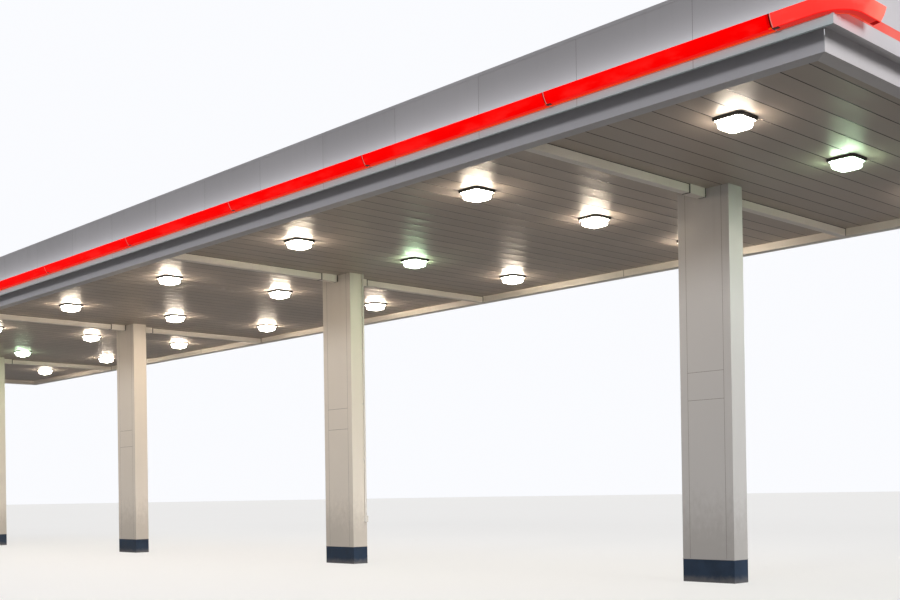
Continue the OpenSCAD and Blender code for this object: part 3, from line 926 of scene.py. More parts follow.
@dataclass
class Columns(SubAssembly):
    """Clad columns with their dark foot wraps."""

    half_w: float = 0.403
    half_d: float = 0.155
    edge: float = 0.118
    bead_half: float = 0.0029
    set_back: tuple[float, float] = (0.0021, 0.0007)
    upright_low: float = 0.313
    levels: tuple[float, float] = (2.410, 2.780)
    cladding: Finish = SheetPaint(
        "cladding_paint", (0.72, 0.67, 0.605), 0.42, runs=0.12, runs_top=5.19, runs_reach=1.2,
        foot=0.35, foot_reach=0.9, wave=0.0018)
    # Painted shade: the first column gets a darker, greyer copy of the same cladding paint, for the less light that
    # reaches it.
    first_column_shaded_cladding: Finish = replace(cladding, name="cladding_paint_shaded", colour=(0.54, 0.53, 0.525))
    wrap: Finish = WrapPaint("foot_wrap", (0.018, 0.034, 0.064), 0.42)
    bead: Finish = Finish("cladding_joint_bead", (0.22, 0.20, 0.18), 0.7)

    def build(self) -> None:
        """Dresses the cladding and the foot wraps, and fills the panel joints."""
        for k in range(1, len(LAYOUT.column_x) + 1):
            self.keep(f"column_cladding_{k}", self.first_column_shaded_cladding if k == 1 else self.cladding)
            self.keep(f"column_base_{k}", self.wrap)
        self.add(self.beads(), "cladding")

    def beads(self) -> Piece:
        """Dark beads in the upright and level joints, set back from the face.

        Returns:
            The piece.
        """
        work = Workpiece()
        joint, half = self.half_w - self.edge, self.bead_half
        for x, side in product(LAYOUT.column_x, BOTH):
            depth = away(0.0, side, *(self.half_d - gap for gap in self.set_back))
            for middle in (x - joint, x + joint):
                work.box((middle - half, middle + half), depth, (self.upright_low, LAYOUT.under_deck))
            for z in self.levels:
                work.box((x - joint + half, x + joint - half), depth, (z - half, z + half))
        return work.to_object("cladding_beads", [self.bead])


@dataclass
class Steelwork(SubAssembly):
    """Posts, cross beams and purlins, with the bolts in the purlin tabs."""

    bolt_size: float = 0.018
    web: float = 0.006
    tab: float = 0.010
    bolt_offset: float = 0.140
    bolt_heights: tuple[float, ...] = (5.3463, 5.4963)
    steel: Finish = PrimedSteel("steel_primer", (0.27, 0.29, 0.30), 0.55)
    purlin: Finish = PrimedSteel("purlin_primer", (0.33, 0.34, 0.34), 0.55, rust_share=0.5)
    fixings: Finish = Galvanised("fixings", (0.50, 0.51, 0.52), 0.42, spangle=300.0)

    def build(self) -> None:
        """Dresses the steel and bolts the purlins to their tabs."""
        for k in range(1, len(LAYOUT.column_x) + 1):
            self.keep(f"steel_frame_{k}", self.steel)
        for row in ("front", "rear"):
            self.keep(f"purlins_{row}", self.purlin)
        self.add(self.bolts(), "frame_steel")

    def bolts(self) -> Piece:
        """Bolts through every purlin web and tab, head on one side and nut on the other.

        Returns:
            The piece.
        """
        work = Workpiece()
        for x, side, line in product(LAYOUT.column_x, BOTH, LAYOUT.purlin_lines):
            near = side * line - self.web / 2
            far = side * line + self.web / 2 + LAYOUT.clearance + self.tab
            for place, z in product((x - self.bolt_offset, x + self.bolt_offset), self.bolt_heights):
                work.bolt((place, far, z), (0, 1, 0), self.bolt_size)
                work.bolt((place, near, z), (0, -1, 0), self.bolt_size)
        return work.to_object("purlin_bolts", [self.fixings])


@dataclass
class Deck(SubAssembly):
    """Deck pans in five bays, clipped to the purlins from above."""

    bays: int = 5
    clip_w: float = 0.030
    clip_t: float = 0.003
    clip_low: float = 5.231
    screw_z: float = 5.246
    clip_rise: float = 0.0035
    hook: tuple[float, float] = (0.032, 0.022)
    hook_gap: float = 0.0004
    rib_half: float = 0.006
    rib_gap: float = 0.0002
    flange_t: float = 0.010
    flange_gap: float = 0.0006
    screw_size: float = 0.005
    column_room: float = 0.25
    paint: Finish = DeckPaint("deck_paint", (0.465, 0.40, 0.35), 0.42, gloss=0.48)
    clip_metal: Finish = Galvanised("clip_zinc", (0.56, 0.57, 0.58), 0.42, spangle=250.0)

    def build(self) -> None:
        """Dresses the pans and clips them to the purlins."""
        for n in range(1, self.bays + 1):
            self.keep(f"deck_bay_{n}", self.paint)
        self.add(self.clips(), "deck_sheet")

    def clips(self) -> Piece:
        """Clips hooked over the purlin flanges, one on each rib at each purlin line.

        Returns:
            The piece.
        """
        work = Workpiece()
        flange_top = LAYOUT.steel_z + self.flange_t
        hook_z = flange_top + self.hook_gap
        for x in LAYOUT.seams():
            if LAYOUT.beside_column(x, self.column_room):
                continue
            start = x + self.rib_half + self.rib_gap
            for side, line, edge in product(BOTH, LAYOUT.purlin_lines, BOTH):
                y = side * line + edge * (LAYOUT.purlin_half + self.flange_gap)
                out, tip = y + edge * self.clip_w, y - edge * self.hook[1]
                work.box((start, start + self.clip_t), (y, out), (self.clip_low, flange_top + self.clip_rise))
                work.box((start, start + self.hook[0]), (tip, out), (hook_z, hook_z + self.clip_t))
                work.screw((start + self.clip_t, (y + out) / 2, self.screw_z), (1, 0, 0), self.screw_size)
        return work.to_object("deck_clips", [self.clip_metal])


@dataclass
class Lamps(SubAssembly):
    """Square drop lamps: pressed bezel, housing above the deck and a pillow lens below it."""

    rows: int = 8
    lines: tuple[float, ...] = (-2.380, 0.0, 2.380)
    step: float = 1.9812
    green: tuple[tuple[int, int], ...] = ((1, 1), (3, 1), (7, 1))
    bezel_low: float = 5.1645
    bezel_high: float = 5.1897
    bezel_side: float = 0.380
    bezel_radius: float = 0.060
    screw_inset: float = 0.010
    screw_gap: float = 0.0006
    screw_size: float = 0.0055
    lip_side: float = 0.366
    flange_side: float = 0.345
    flange_low: float = 5.1545
    flange_radius: float = 0.050
    lens_side: float = 0.300
    lens_radius: float = 0.055
    lens_low: float = 5.0614
    round_drop: float = 0.038
    round_draw: float = 0.040
    round_steps: int = 12
    facet_half: float = 0.065
    facet_radius: float = 0.039
    facet_t: float = 0.002
    prism_gap: float = 0.0035
    prism_t: float = 0.0022
    prism_low: float = 5.1462
    prism_high: float = 5.1541
    housing_side: float = 0.280
    housing_top: float = 5.3197
    housing_radius: float = 0.012
    plate_half: float = 0.045
    plate_t: float = 0.004
    plate_drop: tuple[float, float] = (0.070, 0.020)
    gland_y: float = 0.060
    gland: tuple[tuple[float, float], ...] = ((0, 0.020), (0.014, 0.020), (0.018, 0.016), (0.030, 0.014))
    bulb_length: float = 0.150
    bulb_radius: float = 0.038
    bulb_z: float = 5.118
    bulb_steps: int = 12
    bezel_paint: Finish = Finish("lamp_bezel", (0.034, 0.028, 0.024), 0.80)
    seal: Finish = Finish("bezel_seam", (0.09, 0.08, 0.072), 0.5)
    housing_metal: Finish = Galvanised("housing_zinc", (0.50, 0.51, 0.52), 0.45, spangle=120.0)
    warm_lens: Finish = LensGlow("lens_warm", (0.90, 0.90, 0.88), 0.30, strength=20.0)
    green_lens: Finish = LensGlow("lens_green", (0.88, 0.90, 0.88), 0.30, tint=Tint.GREEN, pale=0.6, strength=7.0)
    warm_facet: Finish = LensGlow("facet_warm", (0.90, 0.90, 0.88), 0.30, tint=Tint.AMBER, pale=0.0,
                                  strength=570.0, clear=0.0, throws=True)
    weak_facet: Finish = replace(warm_facet, name="facet_weak", strength=240.0)
    green_facet: Finish = replace(warm_facet, name="facet_green", colour=(0.88, 0.90, 0.88), tint=Tint.GREEN,
                                  pale=0.2, strength=300.0)
    warm_bulb: Finish = BulbGlow("bulb_warm", (0.88, 0.88, 0.86), 0.4, strength=18.0)
    green_bulb: Finish = BulbGlow("bulb_green", (0.86, 0.88, 0.86), 0.4, tint=Tint.GREEN, strength=10.0)
    prism: Finish = Finish("prism_glass", (0.80, 0.79, 0.76), 0.3)

    def build(self) -> None:
        """Builds every row of lamps in place of its node."""
        for n in range(1, self.rows + 1):
            node = f"lamp_row_{n}"
            self.add(self.bezels(n), "lamp_housing", (node,))
            self.add(self.lenses(n), "lamp_lens", (node,))
            self.add(self.bulbs(n), "lamp_lens", (node,))

    def centre(self, n: int) -> float:
        """Place of one row of lamps along the canopy."""
        return LAYOUT.column_x[(n - 1) // 2] + (self.step if n % 2 else -self.step)

    def tinted(self, n: int, line: int) -> int:
        """1 where the light of one lamp is green, else 0."""
        return int((n, line) in self.green)

    def bezels(self, n: int) -> Piece:
        """Bezels, screws and housings of one row.

        Args:
            n: Number of the row.

        Returns:
            The piece.
        """
        work = Workpiece()
        x, wide, low, high = self.centre(n), self.bezel_side, self.bezel_low, self.bezel_high
        seam = (low + high) / 2
        bezel = ((wide, high), (wide, seam + 0.004), (wide - 0.002, seam + 0.003), (wide - 0.002, seam - 0.002),
                 (wide, seam - 0.003), (wide, low + 0.006), (wide - 0.004, low + 0.002), (wide - 0.010, low),
                 (self.lip_side, low), (self.lip_side - 0.006, low + 0.003))
        body, top, half = self.housing_side, self.housing_top, self.housing_side / 2
        housing = ((body, high - 0.001), (body, top - 0.010), (body - 0.006, top - 0.003), (body - 0.020, top))
        reach = wide / 2 - self.screw_inset
        for y in self.lines:
            squares = [round_square((x, y, z), side, self.bezel_radius - (wide - side) / 2) for side, z in bezel]
            work.loft(squares[:2], (True, False))
            work.loft(squares[1:5], (False, False), 2)
            work.loft(squares[4:], (False, True))
            work.loft([round_square((x, y, z), side, self.housing_radius, 3) for side, z in housing],
                      (False, True), 1)
            work.box((x - self.plate_half, x + self.plate_half), (y - half, y - half + self.plate_t),
                     [top - drop for drop in self.plate_drop], 1)
            work.turned((x, y + self.gland_y, top), (0, 0, 1), self.gland, 16, 1)
            for sx, sy in ((1, 0), (-1, 0), (0, 1), (0, -1)):
                work.screw((x + sx * reach, y + sy * reach, low + self.screw_gap), (0, 0, -1), self.screw_size)
        return work.to_object(f"lamp_bezels_{n}", [self.bezel_paint, self.housing_metal, self.seal])

    def lens_rings(self) -> list[tuple[float, float, float]]:
        """Half side, height and corner radius of each ring of a lens, from its flange down to its facet.

        Returns:
            The rings in order.
        """
        half, flange, low = self.lens_side / 2, self.flange_side / 2, self.flange_low
        radius = self.flange_radius
        rings = [(flange, self.bezel_low - 0.0004, radius), (flange, low + 0.002, radius),
                 (flange - 0.002, low, radius), (half + 0.003, low, radius + 0.006),
                 (half, low - 0.004, self.lens_radius)]
        wall_low = self.lens_low + self.round_drop + 0.006
        for i in range(1, self.round_steps + 1):
            turn = math.radians(90.0 * i / self.round_steps)
            draw = self.round_draw * (1.0 - math.cos(turn))
            rings.append((half - 0.001 - draw, wall_low - self.round_drop * math.sin(turn),
                          self.lens_radius * (1 - 0.2 * draw / self.round_draw)))
        return rings + [(self.facet_half + 0.004, self.lens_low + self.facet_t + 0.0002, self.facet_radius)]

    def lenses(self, n: int) -> Piece:
        """Pillow lenses of one row, with their flanges, prism rings and lower facets.

        Args:
            n: Number of the row.

        Returns:
            The piece.
        """
        work = Workpiece()
        x, low, half = self.centre(n), self.lens_low, self.lens_side / 2
        inner, outer = self.prism_gap, self.prism_gap + self.prism_t
        section = ((inner, self.prism_low), (outer, self.prism_low),
                   (outer, self.prism_high), (inner, self.prism_high))
        profile = self.lens_rings()
        glass, flange = 4, 6
        for line, y in enumerate(self.lines):
            lens = self.tinted(n, line)
            throw = 5 if n == 1 and not lens else 2 + lens
            rings = [round_square((x, y, z), 2 * reach, radius) for reach, z, radius in profile]
            work.loft(rings[:3], (True, False), flange)
            work.loft(rings[2:], (False, True), lens)
            rings = [round_square((x, y, z), 2 * self.facet_half, self.facet_radius)
                     for z in (low + self.facet_t, low)]
            work.loft(rings, (True, False), lens)
            work.face(range(len(work.points) - len(rings[-1]), len(work.points)), throw)
            work.band([round_square((x, y, z), 2 * (half + out), self.lens_radius + out, 4) for out, z in section],
                      (glass, throw, glass, glass))
        finishes = [self.warm_lens, self.green_lens, self.warm_facet, self.green_facet, self.prism, self.weak_facet,
                    self.bezel_paint]
        return work.to_object(f"lamp_lenses_{n}", finishes, smooth=50.0)

    def bulbs(self, n: int) -> Piece:
        """Bulbs of one row, lying along the canopy behind the lenses.

        Args:
            n: Number of the row.

        Returns:
            The piece.
        """
        work = Workpiece()
        half = self.bulb_length / 2
        turns = [math.pi * i / self.bulb_steps for i in range(self.bulb_steps + 1)]
        profile = [(half * (1.0 - math.cos(turn)), self.bulb_radius * max(0.12, math.sin(turn)) ** 0.6)
                   for turn in turns]
        for line, y in enumerate(self.lines):
            work.turned((self.centre(n) - half, y, self.bulb_z), (1, 0, 0), profile, 20, self.tinted(n, line))
        return work.to_object(f"lamp_bulbs_{n}", [self.warm_bulb, self.green_bulb], smooth=60.0)


@dataclass
class Gutters(SubAssembly):
    """Perimeter gutters and cross gutters, with sealed joints and dark strips of painted shade."""

    low: float = 5.075
    outer: float = 0.193
    width: float = 0.163
    joints: tuple[float, ...] = (12.8016, 8.528, 4.8768, 0.914, -3.048, -5.850, -10.9728)
    strap_w: float = 0.007
    strap_t: float = 0.0008
    cross_half: float = 0.0545
    wall_gap: float = 0.0002
    line_far: float = 0.0016
    sleeve_half: float = 0.0615
    sleeve_inset: float = 0.001
    sleeve_low: float = 5.068
    sleeve_far: float = 0.505
    cross_far: float = 3.5135
    lip_w: float = 0.022
    end_w: float = 0.016
    # Height of the painted shade strip along the cross gutters' top edges.
    bead: float = 0.010
    collar: tuple[float, float] = (0.1565, 0.1846)
    collar_half: float = 0.057
    neck_half: float = 0.0402
    neck_low: float = 5.1032
    seal_room: float = 0.06
    # Painted light: the gutters share one paint, but each side has its own copy coloured by how it is lit. The
    # front is a shaded bluish grey, the right end lighter, and the rear, left and cross gutters a warm cream for
    # the lamps' light. Each copy's soiling colour is tinted to match.
    paint: Finish = SheetPaint(
        "gutter_shade_painted", (0.52, 0.51, 0.54), 0.36, dirt_and_painted_shade=(0.20, 0.19, 0.19), runs=0.06,
        runs_top=5.19, runs_reach=0.2, wave=0.0010)
    end_light_painted: Finish = replace(
        paint, name="end_gutter_light_painted", colour=(0.64, 0.62, 0.635), dirt_and_painted_shade=(0.24, 0.20, 0.16), runs=0.10)
    inner_light_painted: Finish = replace(
        paint, name="inner_gutter_light_painted", colour=(0.86, 0.815, 0.755), roughness=0.40,
        dirt_and_painted_shade=(0.30, 0.25, 0.20), runs=0.08)
    # Dark finish of the seals and of the painted shade strips.
    sealant_and_painted_shade: Finish = Finish("gutter_sealant", (0.10, 0.095, 0.09), 0.6)

    def build(self) -> None:
        """Dresses the gutters, seals their joints and adds the strips of painted shade."""
        for side, paint in (("front", self.paint), ("right", self.end_light_painted),
                            ("rear", self.inner_light_painted), ("left", self.inner_light_painted)):
            self.keep(f"gutter_{side}", paint)
        for k in range(1, len(LAYOUT.column_x) + 1):
            self.keep(f"cross_gutter_{k}", self.inner_light_painted)
        self.add(self.seals(), "gutter_sheet")

    def seals(self) -> Piece:
        """Sealant on the long gutters' joints and on the cross gutters' ends, with dark strips of painted shade
        along the cross gutters' top edges and at their sleeves.

        Returns:
            The piece.
        """
        work = Workpiece()
        top, half = LAYOUT.under_deck, self.strap_w / 2
        wall = LAYOUT.half_width - self.outer - self.width
        for sign, x in product(BOTH, self.joints):
            if not LAYOUT.beside_column(x, self.seal_room):
                work.box((x - half, x + half), away(0.0, sign, wall, wall - self.strap_t), (self.low + 0.002, top))
        lip = (self.sleeve_far + LAYOUT.clearance, self.sleeve_far + self.lip_w)
        end = (self.cross_far - self.end_w, self.cross_far)
        side = self.cross_half + self.wall_gap
        for x, sign in product(LAYOUT.column_x, BOTH):
            lip_y, collar_y = away(0.0, sign, *lip), away(0.0, sign, *self.collar)
            for sx in BOTH:
                line_x = away(x, sx, side, self.cross_half + self.line_far)
                # Dark lip at each sleeve's far end: a rubber coupling, darkened as painted shade of the gap there.
                work.box(away(x, sx, side, self.sleeve_half - self.sleeve_inset), lip_y, (self.low + 0.0005, top))
                work.box(line_x, away(0.0, sign, *end), (self.low + 0.002, top))
                # Painted shade: a dark strip along the top edge of each cross gutter side, where it meets the deck.
                work.box(line_x, away(0.0, sign, lip[1], end[0]), (LAYOUT.deck_z - self.bead, top))
            for sx in BOTH:
                # Painted shade: dark blocks fill the gap between each sleeve's near end and the column.
                work.box(away(x, sx, self.neck_half, self.collar_half), collar_y, (self.neck_low, top))
            work.box((x - self.collar_half, x + self.collar_half), collar_y,
                     (self.sleeve_low + 0.004, self.neck_low - self.wall_gap))
            # Dark band under the sleeve's lip, painted shade of the gap there.
            work.box((x - self.sleeve_half + self.sleeve_inset, x + self.sleeve_half - self.sleeve_inset), lip_y,
                     (self.sleeve_low + self.sleeve_inset, self.low - self.wall_gap))
        return work.to_object("gutter_seals", [self.sealant_and_painted_shade])


@dataclass
class Fascia(SubAssembly):
    """Fascia faces with their framing, cap rivets and the coloured film on three sides."""

    panel_front: float = 33.528 / 23
    panel_end: float = 7.740 / 5
    panel_spread: float = 0.035
    groove: float = 0.004
    end_gap: float = 0.001
    bead_half: float = 0.0019
    bead_depth: tuple[float, float] = (0.0016, 0.0006)
    bead_top: float = 5.920
    film_low: float = 5.365
    film_high: float = 5.457
    film_depth: tuple[float, float] = (0.0002, -0.0004)
    rivet_pitch: float = 0.486
    rivet_margin: float = 0.15
    rivet_size: float = 0.0045
    rivet_sunk: float = 0.0002
    cap_depth: float = 0.070
    cap_leg: float = 0.038
    paint: Finish = SheetPaint(
        "fascia_paint", (0.60, 0.58, 0.605), 0.38, runs=0.12, runs_top=LAYOUT.fascia_top - 0.03,
        runs_reach=0.40, wave=0.0022, painted_shade_and_soiling=0.04, gloss=0.35)
    # The front copy is darkened towards the top as painted shade, with a little soiling. Its strip under the light
    # bar gets a paler, cool tint as painted light against the bar's red light.
    front_paint: Finish = replace(paint, colour=(0.60, 0.58, 0.60), painted_shade_and_soiling=0.38, painted_light_under_bar=(0.60, 0.72, 0.745))
    zinc: Finish = Galvanised("frame_zinc", (0.52, 0.53, 0.54), 0.45)
    film: Finish = Film("stripe_film_red", (0.90, 0.10, 0.075), 0.40)
    rivet: Finish = Finish("cap_rivets", (0.46, 0.45, 0.46), 0.4)
    bead: Finish = Finish("joint_bead", (0.085, 0.075, 0.066), 0.7)

    def build(self) -> None:
        """Dresses the faces and framing, and adds beads, film and rivets."""
        for side in Side:
            name = side.name.lower()
            paint = self.front_paint if side is Side.FRONT else self.paint
            self.keep(f"fascia_{name}", replace(paint, name=f"fascia_paint_{name}", panels=self.panels(side)))
            self.keep(f"fascia_frame_{name}", self.zinc)
        self.add(self.beads(), "fascia_sheet")
        self.add(self.films(), "stripe_film")
        self.add(self.rivets(), "fascia_sheet")

    def panels(self, side: Side) -> Panels:
        """Row of panels on one side.

        Args:
            side: Side of the canopy.

        Returns:
            Its axis, start and pitch, and how far the tones differ.
        """
        axis, pitch = ((Axis.ALONG, self.panel_front) if side in (Side.FRONT, Side.REAR)
                       else (Axis.ACROSS, self.panel_end))
        return Panels(axis, -LAYOUT.half_side(side), pitch, self.panel_spread)

    def joints(self, side: Side) -> list[float]:
        """Both ends of one side and the panel joints between them, along it from its middle."""
        row = self.panels(side)
        return [row.start + i * row.pitch for i in range(round(-2 * row.start / row.pitch) + 1)]

    def strip(self, work: Workpiece, side: Side, along: Sequence[float], depth: Sequence[float],
              up: Sequence[float]) -> None:
        """Adds a thin closed strip on one side.

        Args:
            work: Piece that it belongs to.
            side: Side of the canopy.
            along: Its two ends along the side.
            depth: Its inner and outer skin, inward from the face.
            up: Its lower and upper edge.
        """
        corners = ((depth[0], up[0]), (depth[0], up[1]), (depth[1], up[1]), (depth[1], up[0]))
        work.loft([[on_side(side, place, inward, z) for inward, z in corners] for place in along])

    def beads(self) -> Piece:
        """Dark beads in the upright panel joints, set back from the face.

        Returns:
            The piece.
        """
        work = Workpiece()
        for side in Side:
            for middle in self.joints(side)[1:-1]:
                self.strip(work, side, (middle - self.bead_half, middle + self.bead_half), self.bead_depth,
                           (LAYOUT.fascia_low + 0.001, self.bead_top))
        return work.to_object("fascia_beads", [self.bead])

    def films(self) -> Piece:
        """Film on the end faces and the rear, cut at every panel joint.

        Returns:
            The piece.
        """
        work = Workpiece()
        for side in (Side.RIGHT, Side.REAR, Side.LEFT):
            joints = self.joints(side)
            for start, stop in zip(joints, joints[1:]):
                left = self.groove / 2 if start != joints[0] else self.end_gap
                right = self.groove / 2 if stop != joints[-1] else self.end_gap
                self.strip(work, side, (start + left, stop - right), self.film_depth,
                           (self.film_low, self.film_high))
        return work.to_object("stripe_film", [self.film])

    def rivets(self) -> Piece:
        """Rivets in the inner leg of the cap that closes the top edge.

        Returns:
            The piece.
        """
        work = Workpiece()
        for side in Side:
            face, inner = on_side(side, 0.0, 0.0, 0.0), on_side(side, 0.0, 1.0, 0.0)
            inward = tuple(b - a for a, b in zip(face, inner))
            reach = LAYOUT.half_side(side) - self.rivet_margin
            count = int(2 * reach / self.rivet_pitch)
            for i in range(count + 1):
                centre = on_side(side, -reach + i * 2 * reach / count, self.cap_depth - self.rivet_sunk,
                                 LAYOUT.fascia_top - self.cap_leg / 2)
                work.screw(centre, inward, self.rivet_size)
        return work.to_object("cap_rivets", [self.rivet])


@dataclass
class LightBar(SubAssembly):
    """Red light bar along the front: straight covers, joint trims and rounded corner pieces."""

    low: float = 5.308
    out: float = 0.128
    under: float = 0.068
    height: float = 0.127
    rise: float = 0.009
    back_height: float = 0.150
    curve: float = 0.270
    wall: float = 0.004
    joint: float = 0.005
    trim: float = 0.009
    segment: float = 3.048
    corner_run: float = 0.554
    first: float = 2.729
    corner_radius: float = 0.230
    standoff: float = 0.090
    # Lengths that take the darker copies of the cover as painted shade, beside each joint and at the corner pieces'
    # side ends.
    side_end: float = 0.535
    dim_by_trim: float = 0.010
    dim_by_corner: float = 0.034
    dark_by_trim: float = 0.004
    dark_by_corner: float = 0.010
    dark_under: float = 0.070
    curve_steps: int = 18
    corner_steps: int = 24
    clip_run: float = 0.060
    clip_foot: tuple[float, float] = (0.001, 0.0065)
    clip_foot_w: float = 0.030
    clip_lip: tuple[float, float] = (0.001, 0.017)
    clip_lip_t: float = 0.0015
    end_gap: float = 0.003
    end_point: tuple[float, float] = (0.055, 0.075)
    end_draw: float = 0.03
    cover: Finish = LitCover(
        "bar_shell", (0.90, 0.0, 0.0), 0.34, edge_z=0.0, glow=0.68, patch=(1.0, 0.020, 0.016), patch_share=0.5)
    top: Finish = LitCover("bar_top", (0.86, 0.90, 0.92), 0.4, glow=1.15, edge_z=0.0, patch_share=0.0)
    under_face: Finish = LitCover(
        "bar_under", (0.96, 0.010, 0.008), 0.4, glow=0.64, edge=(1.0, 0.085, 0.008), low=5.3085,
        edge_z=0.0045, patch_share=0.0)
    # Darker copies of the cover: painted shade beside the joints and at the corner pieces' side ends, partly also
    # weaker light from inside there.
    dim: Finish = LitCover("bar_shell_painted_shade", (0.60, 0.0, 0.0), 0.36, glow=0.62)
    end: Finish = LitCover("bar_shell_painted_deep_shade", (0.16, 0.0, 0.0), 0.36, glow=0.35)
    dark: Finish = LitCover("bar_under_painted_shade", (0.38, 0.0, 0.0), 0.4, glow=0.5, edge_z=0.0, patch_share=0.0)
    # The corner cover carries a painted reflection towards its side end.
    corner: Finish = LitCover(
        "bar_corner", (0.98, 0.042, 0.034), 0.34, glow=0.68, edge=(1.0, 0.0, 0.0), edge_z=0.009,
        patch=(1.0, 0.10, 0.085), patch_share=0.8, painted_sheen=(1.0, 0.19, 0.14))
    corner_under: Finish = LitCover(
        "bar_corner_under", (0.96, 0.045, 0.04), 0.4, glow=0.42, edge=(1.0, 0.085, 0.02), low=5.308,
        edge_z=0.003, patch_share=0.0)
    # Painted highlight: the joint trims are pale pink and glow a little, for the lit edge of each cover's lip.
    trim_highlight_finish: Finish = LitCover("bar_trim_highlight", (1.0, 0.26, 0.23), 0.35, glow=0.35, edge_z=0.0, patch_share=0.0)
    # Dark finish of the clips, and of the joint backings as painted shade.
    clip_and_gap_shade_finish: Finish = Finish("bar_clip", (0.09, 0.008, 0.006), 0.4)

    def section(self) -> list[tuple[float, float]]:
        """Outline of the bar as (outward, up), from the lower back corner round the front to the top.

        Returns:
            The points in order.
        """
        chord = (self.out - self.under, self.height - self.rise)
        half = math.hypot(*chord) / 2
        reach = math.sqrt(self.curve ** 2 - half ** 2)
        cx = (self.out + self.under) / 2 - chord[1] / (2 * half) * reach
        cz = (self.height + self.rise) / 2 + chord[0] / (2 * half) * reach
        start = math.atan2(self.rise - cz, self.under - cx)
        stop = math.atan2(self.height - cz, self.out - cx)
        turns = [start + (stop - start) * i / self.curve_steps for i in range(self.curve_steps + 1)]
        arc = [(cx + self.curve * math.cos(turn), cz + self.curve * math.sin(turn)) for turn in turns]
        lip = [(self.out - 0.0012, self.height + 0.0004), (self.out - self.wall, self.height + 0.0008)]
        flat = [(0.0, 0.0), (self.under * 0.5, self.rise * 0.5), (self.under - 0.002, self.rise - 0.0003)]
        return flat + arc + lip + [(0.0, self.back_height)]

    def ring(self, origin: Point, outward: tuple[float, float]) -> list[Point]:
        """The section stood up at one place of the run.

        Args:
            origin: Foot of the section's back.
            outward: Level direction in which the section stands out.

        Returns:
            Points of the section, kept off the fascia corner.
        """
        points = []
        face_x, face_y = LAYOUT.half_length + LAYOUT.clearance, LAYOUT.half_width + LAYOUT.clearance
        for reach, up in self.section():
            x = origin[0] + outward[0] * reach
            y = origin[1] + outward[1] * reach
            if abs(x) < face_x and y > -face_y and outward[0]:
                if face_x - abs(x) < y + face_y:
                    x = math.copysign(face_x, x)
                else:
                    y = -face_y
            points.append((x, y, origin[2] + up))
        return points

    def run(self, start: float, stop: float) -> list[list[Point]]:
        """The section at two places along the front."""
        face_y = -LAYOUT.half_width - LAYOUT.clearance
        return [self.ring((x, face_y, self.low), (0.0, -1.0)) for x in (start, stop)]

    def build(self) -> None:
        """Builds the covers, trims, clips and corner pieces in place of the node."""
        cuts = self.cuts()
        straight, trims, clips = Workpiece(), Workpiece(), Workpiece()
        for start, stop in zip(cuts, cuts[1:]):
            right = LAYOUT.half_length - start - self.joint / 2
            left = LAYOUT.half_length - stop + self.joint / 2
            beside_corner = start == cuts[0] or stop == cuts[-1]
            # Painted shade: each cover is a little darker just past its left trim, and darker towards its
            # right-hand joint, most beside a corner piece.
            dim = self.dim_by_corner if beside_corner else self.dim_by_trim
            dark = self.dark_by_corner if beside_corner else self.dark_by_trim
            places = (left + self.trim, left + self.trim + self.dim_by_trim, right - dim, right - dark, right)
            for i, face in enumerate((3, 0, 3, 4)):
                straight.loft(self.run(*places[i:i + 2]), (i == 0, i == 3), face, self.edge_finishes(face, 2))
            trims.loft(self.run(left, left + self.trim))
            self.clip(clips, left)
        right_trim = LAYOUT.half_length - self.corner_run + self.joint / 2
        for x in (right_trim, -right_trim - self.trim):
            trims.loft(self.run(x, x + self.trim))
        self.clip(clips, right_trim)
        finishes = [self.cover, self.top, self.under_face, self.dim, self.end]
        for piece in (straight.to_object("bar_covers", finishes, smooth=30.0),
                      trims.to_object("bar_trims", [self.trim_highlight_finish], smooth=30.0),
                      clips.to_object("bar_clips", [self.clip_and_gap_shade_finish]),
                      self.corner_piece("right", 1), self.corner_piece("left", -1)):
            self.add(piece, "bar_cover", ("light_bar",))

    def edge_finishes(self, face: int, under: int) -> list[int]:
        """Numbers of the finishes round the section: underside, face, lip, top and back."""
        # The lip takes the darker copy of the cover.
        return [under] * 3 + [face] * (len(self.section()) - 6) + [3, 1, face]

    def cuts(self) -> list[float]:
        """Distances of the joints from the right end of the fascia.

        Returns:
            The distances in order.
        """
        last = 2 * LAYOUT.half_length - self.corner_run
        second = self.corner_run + self.first
        full = math.ceil((last - second) / self.segment - 0.2)
        return [self.corner_run] + [second + i * self.segment for i in range(full)] + [last]

    def clip(self, work: Workpiece, x: float) -> None:
        """Adds the dark backing in a joint, painted shade of the gap, and the clip that holds the lower edge beside
        it.

        Args:
            work: Piece that they belong to.
            x: Right edge of the joint.
        """
        face = -LAYOUT.half_width - LAYOUT.clearance
        # Painted shade: a dark backing fills the joint between two covers.
        work.loft([[(p[0], p[1] + self.wall, p[2]) if p[1] < face - 0.01 else p for p in ring]
                   for ring in self.run(x - self.joint, x)])
        outer, along = face - self.under - 0.001, (x - self.joint, x + self.clip_run)
        work.box(along, (outer, outer + self.clip_foot_w), away(self.low, 1, *self.clip_foot))
        work.box(along, (outer - self.clip_lip_t, outer + 0.001), away(self.low, 1, *self.clip_lip))

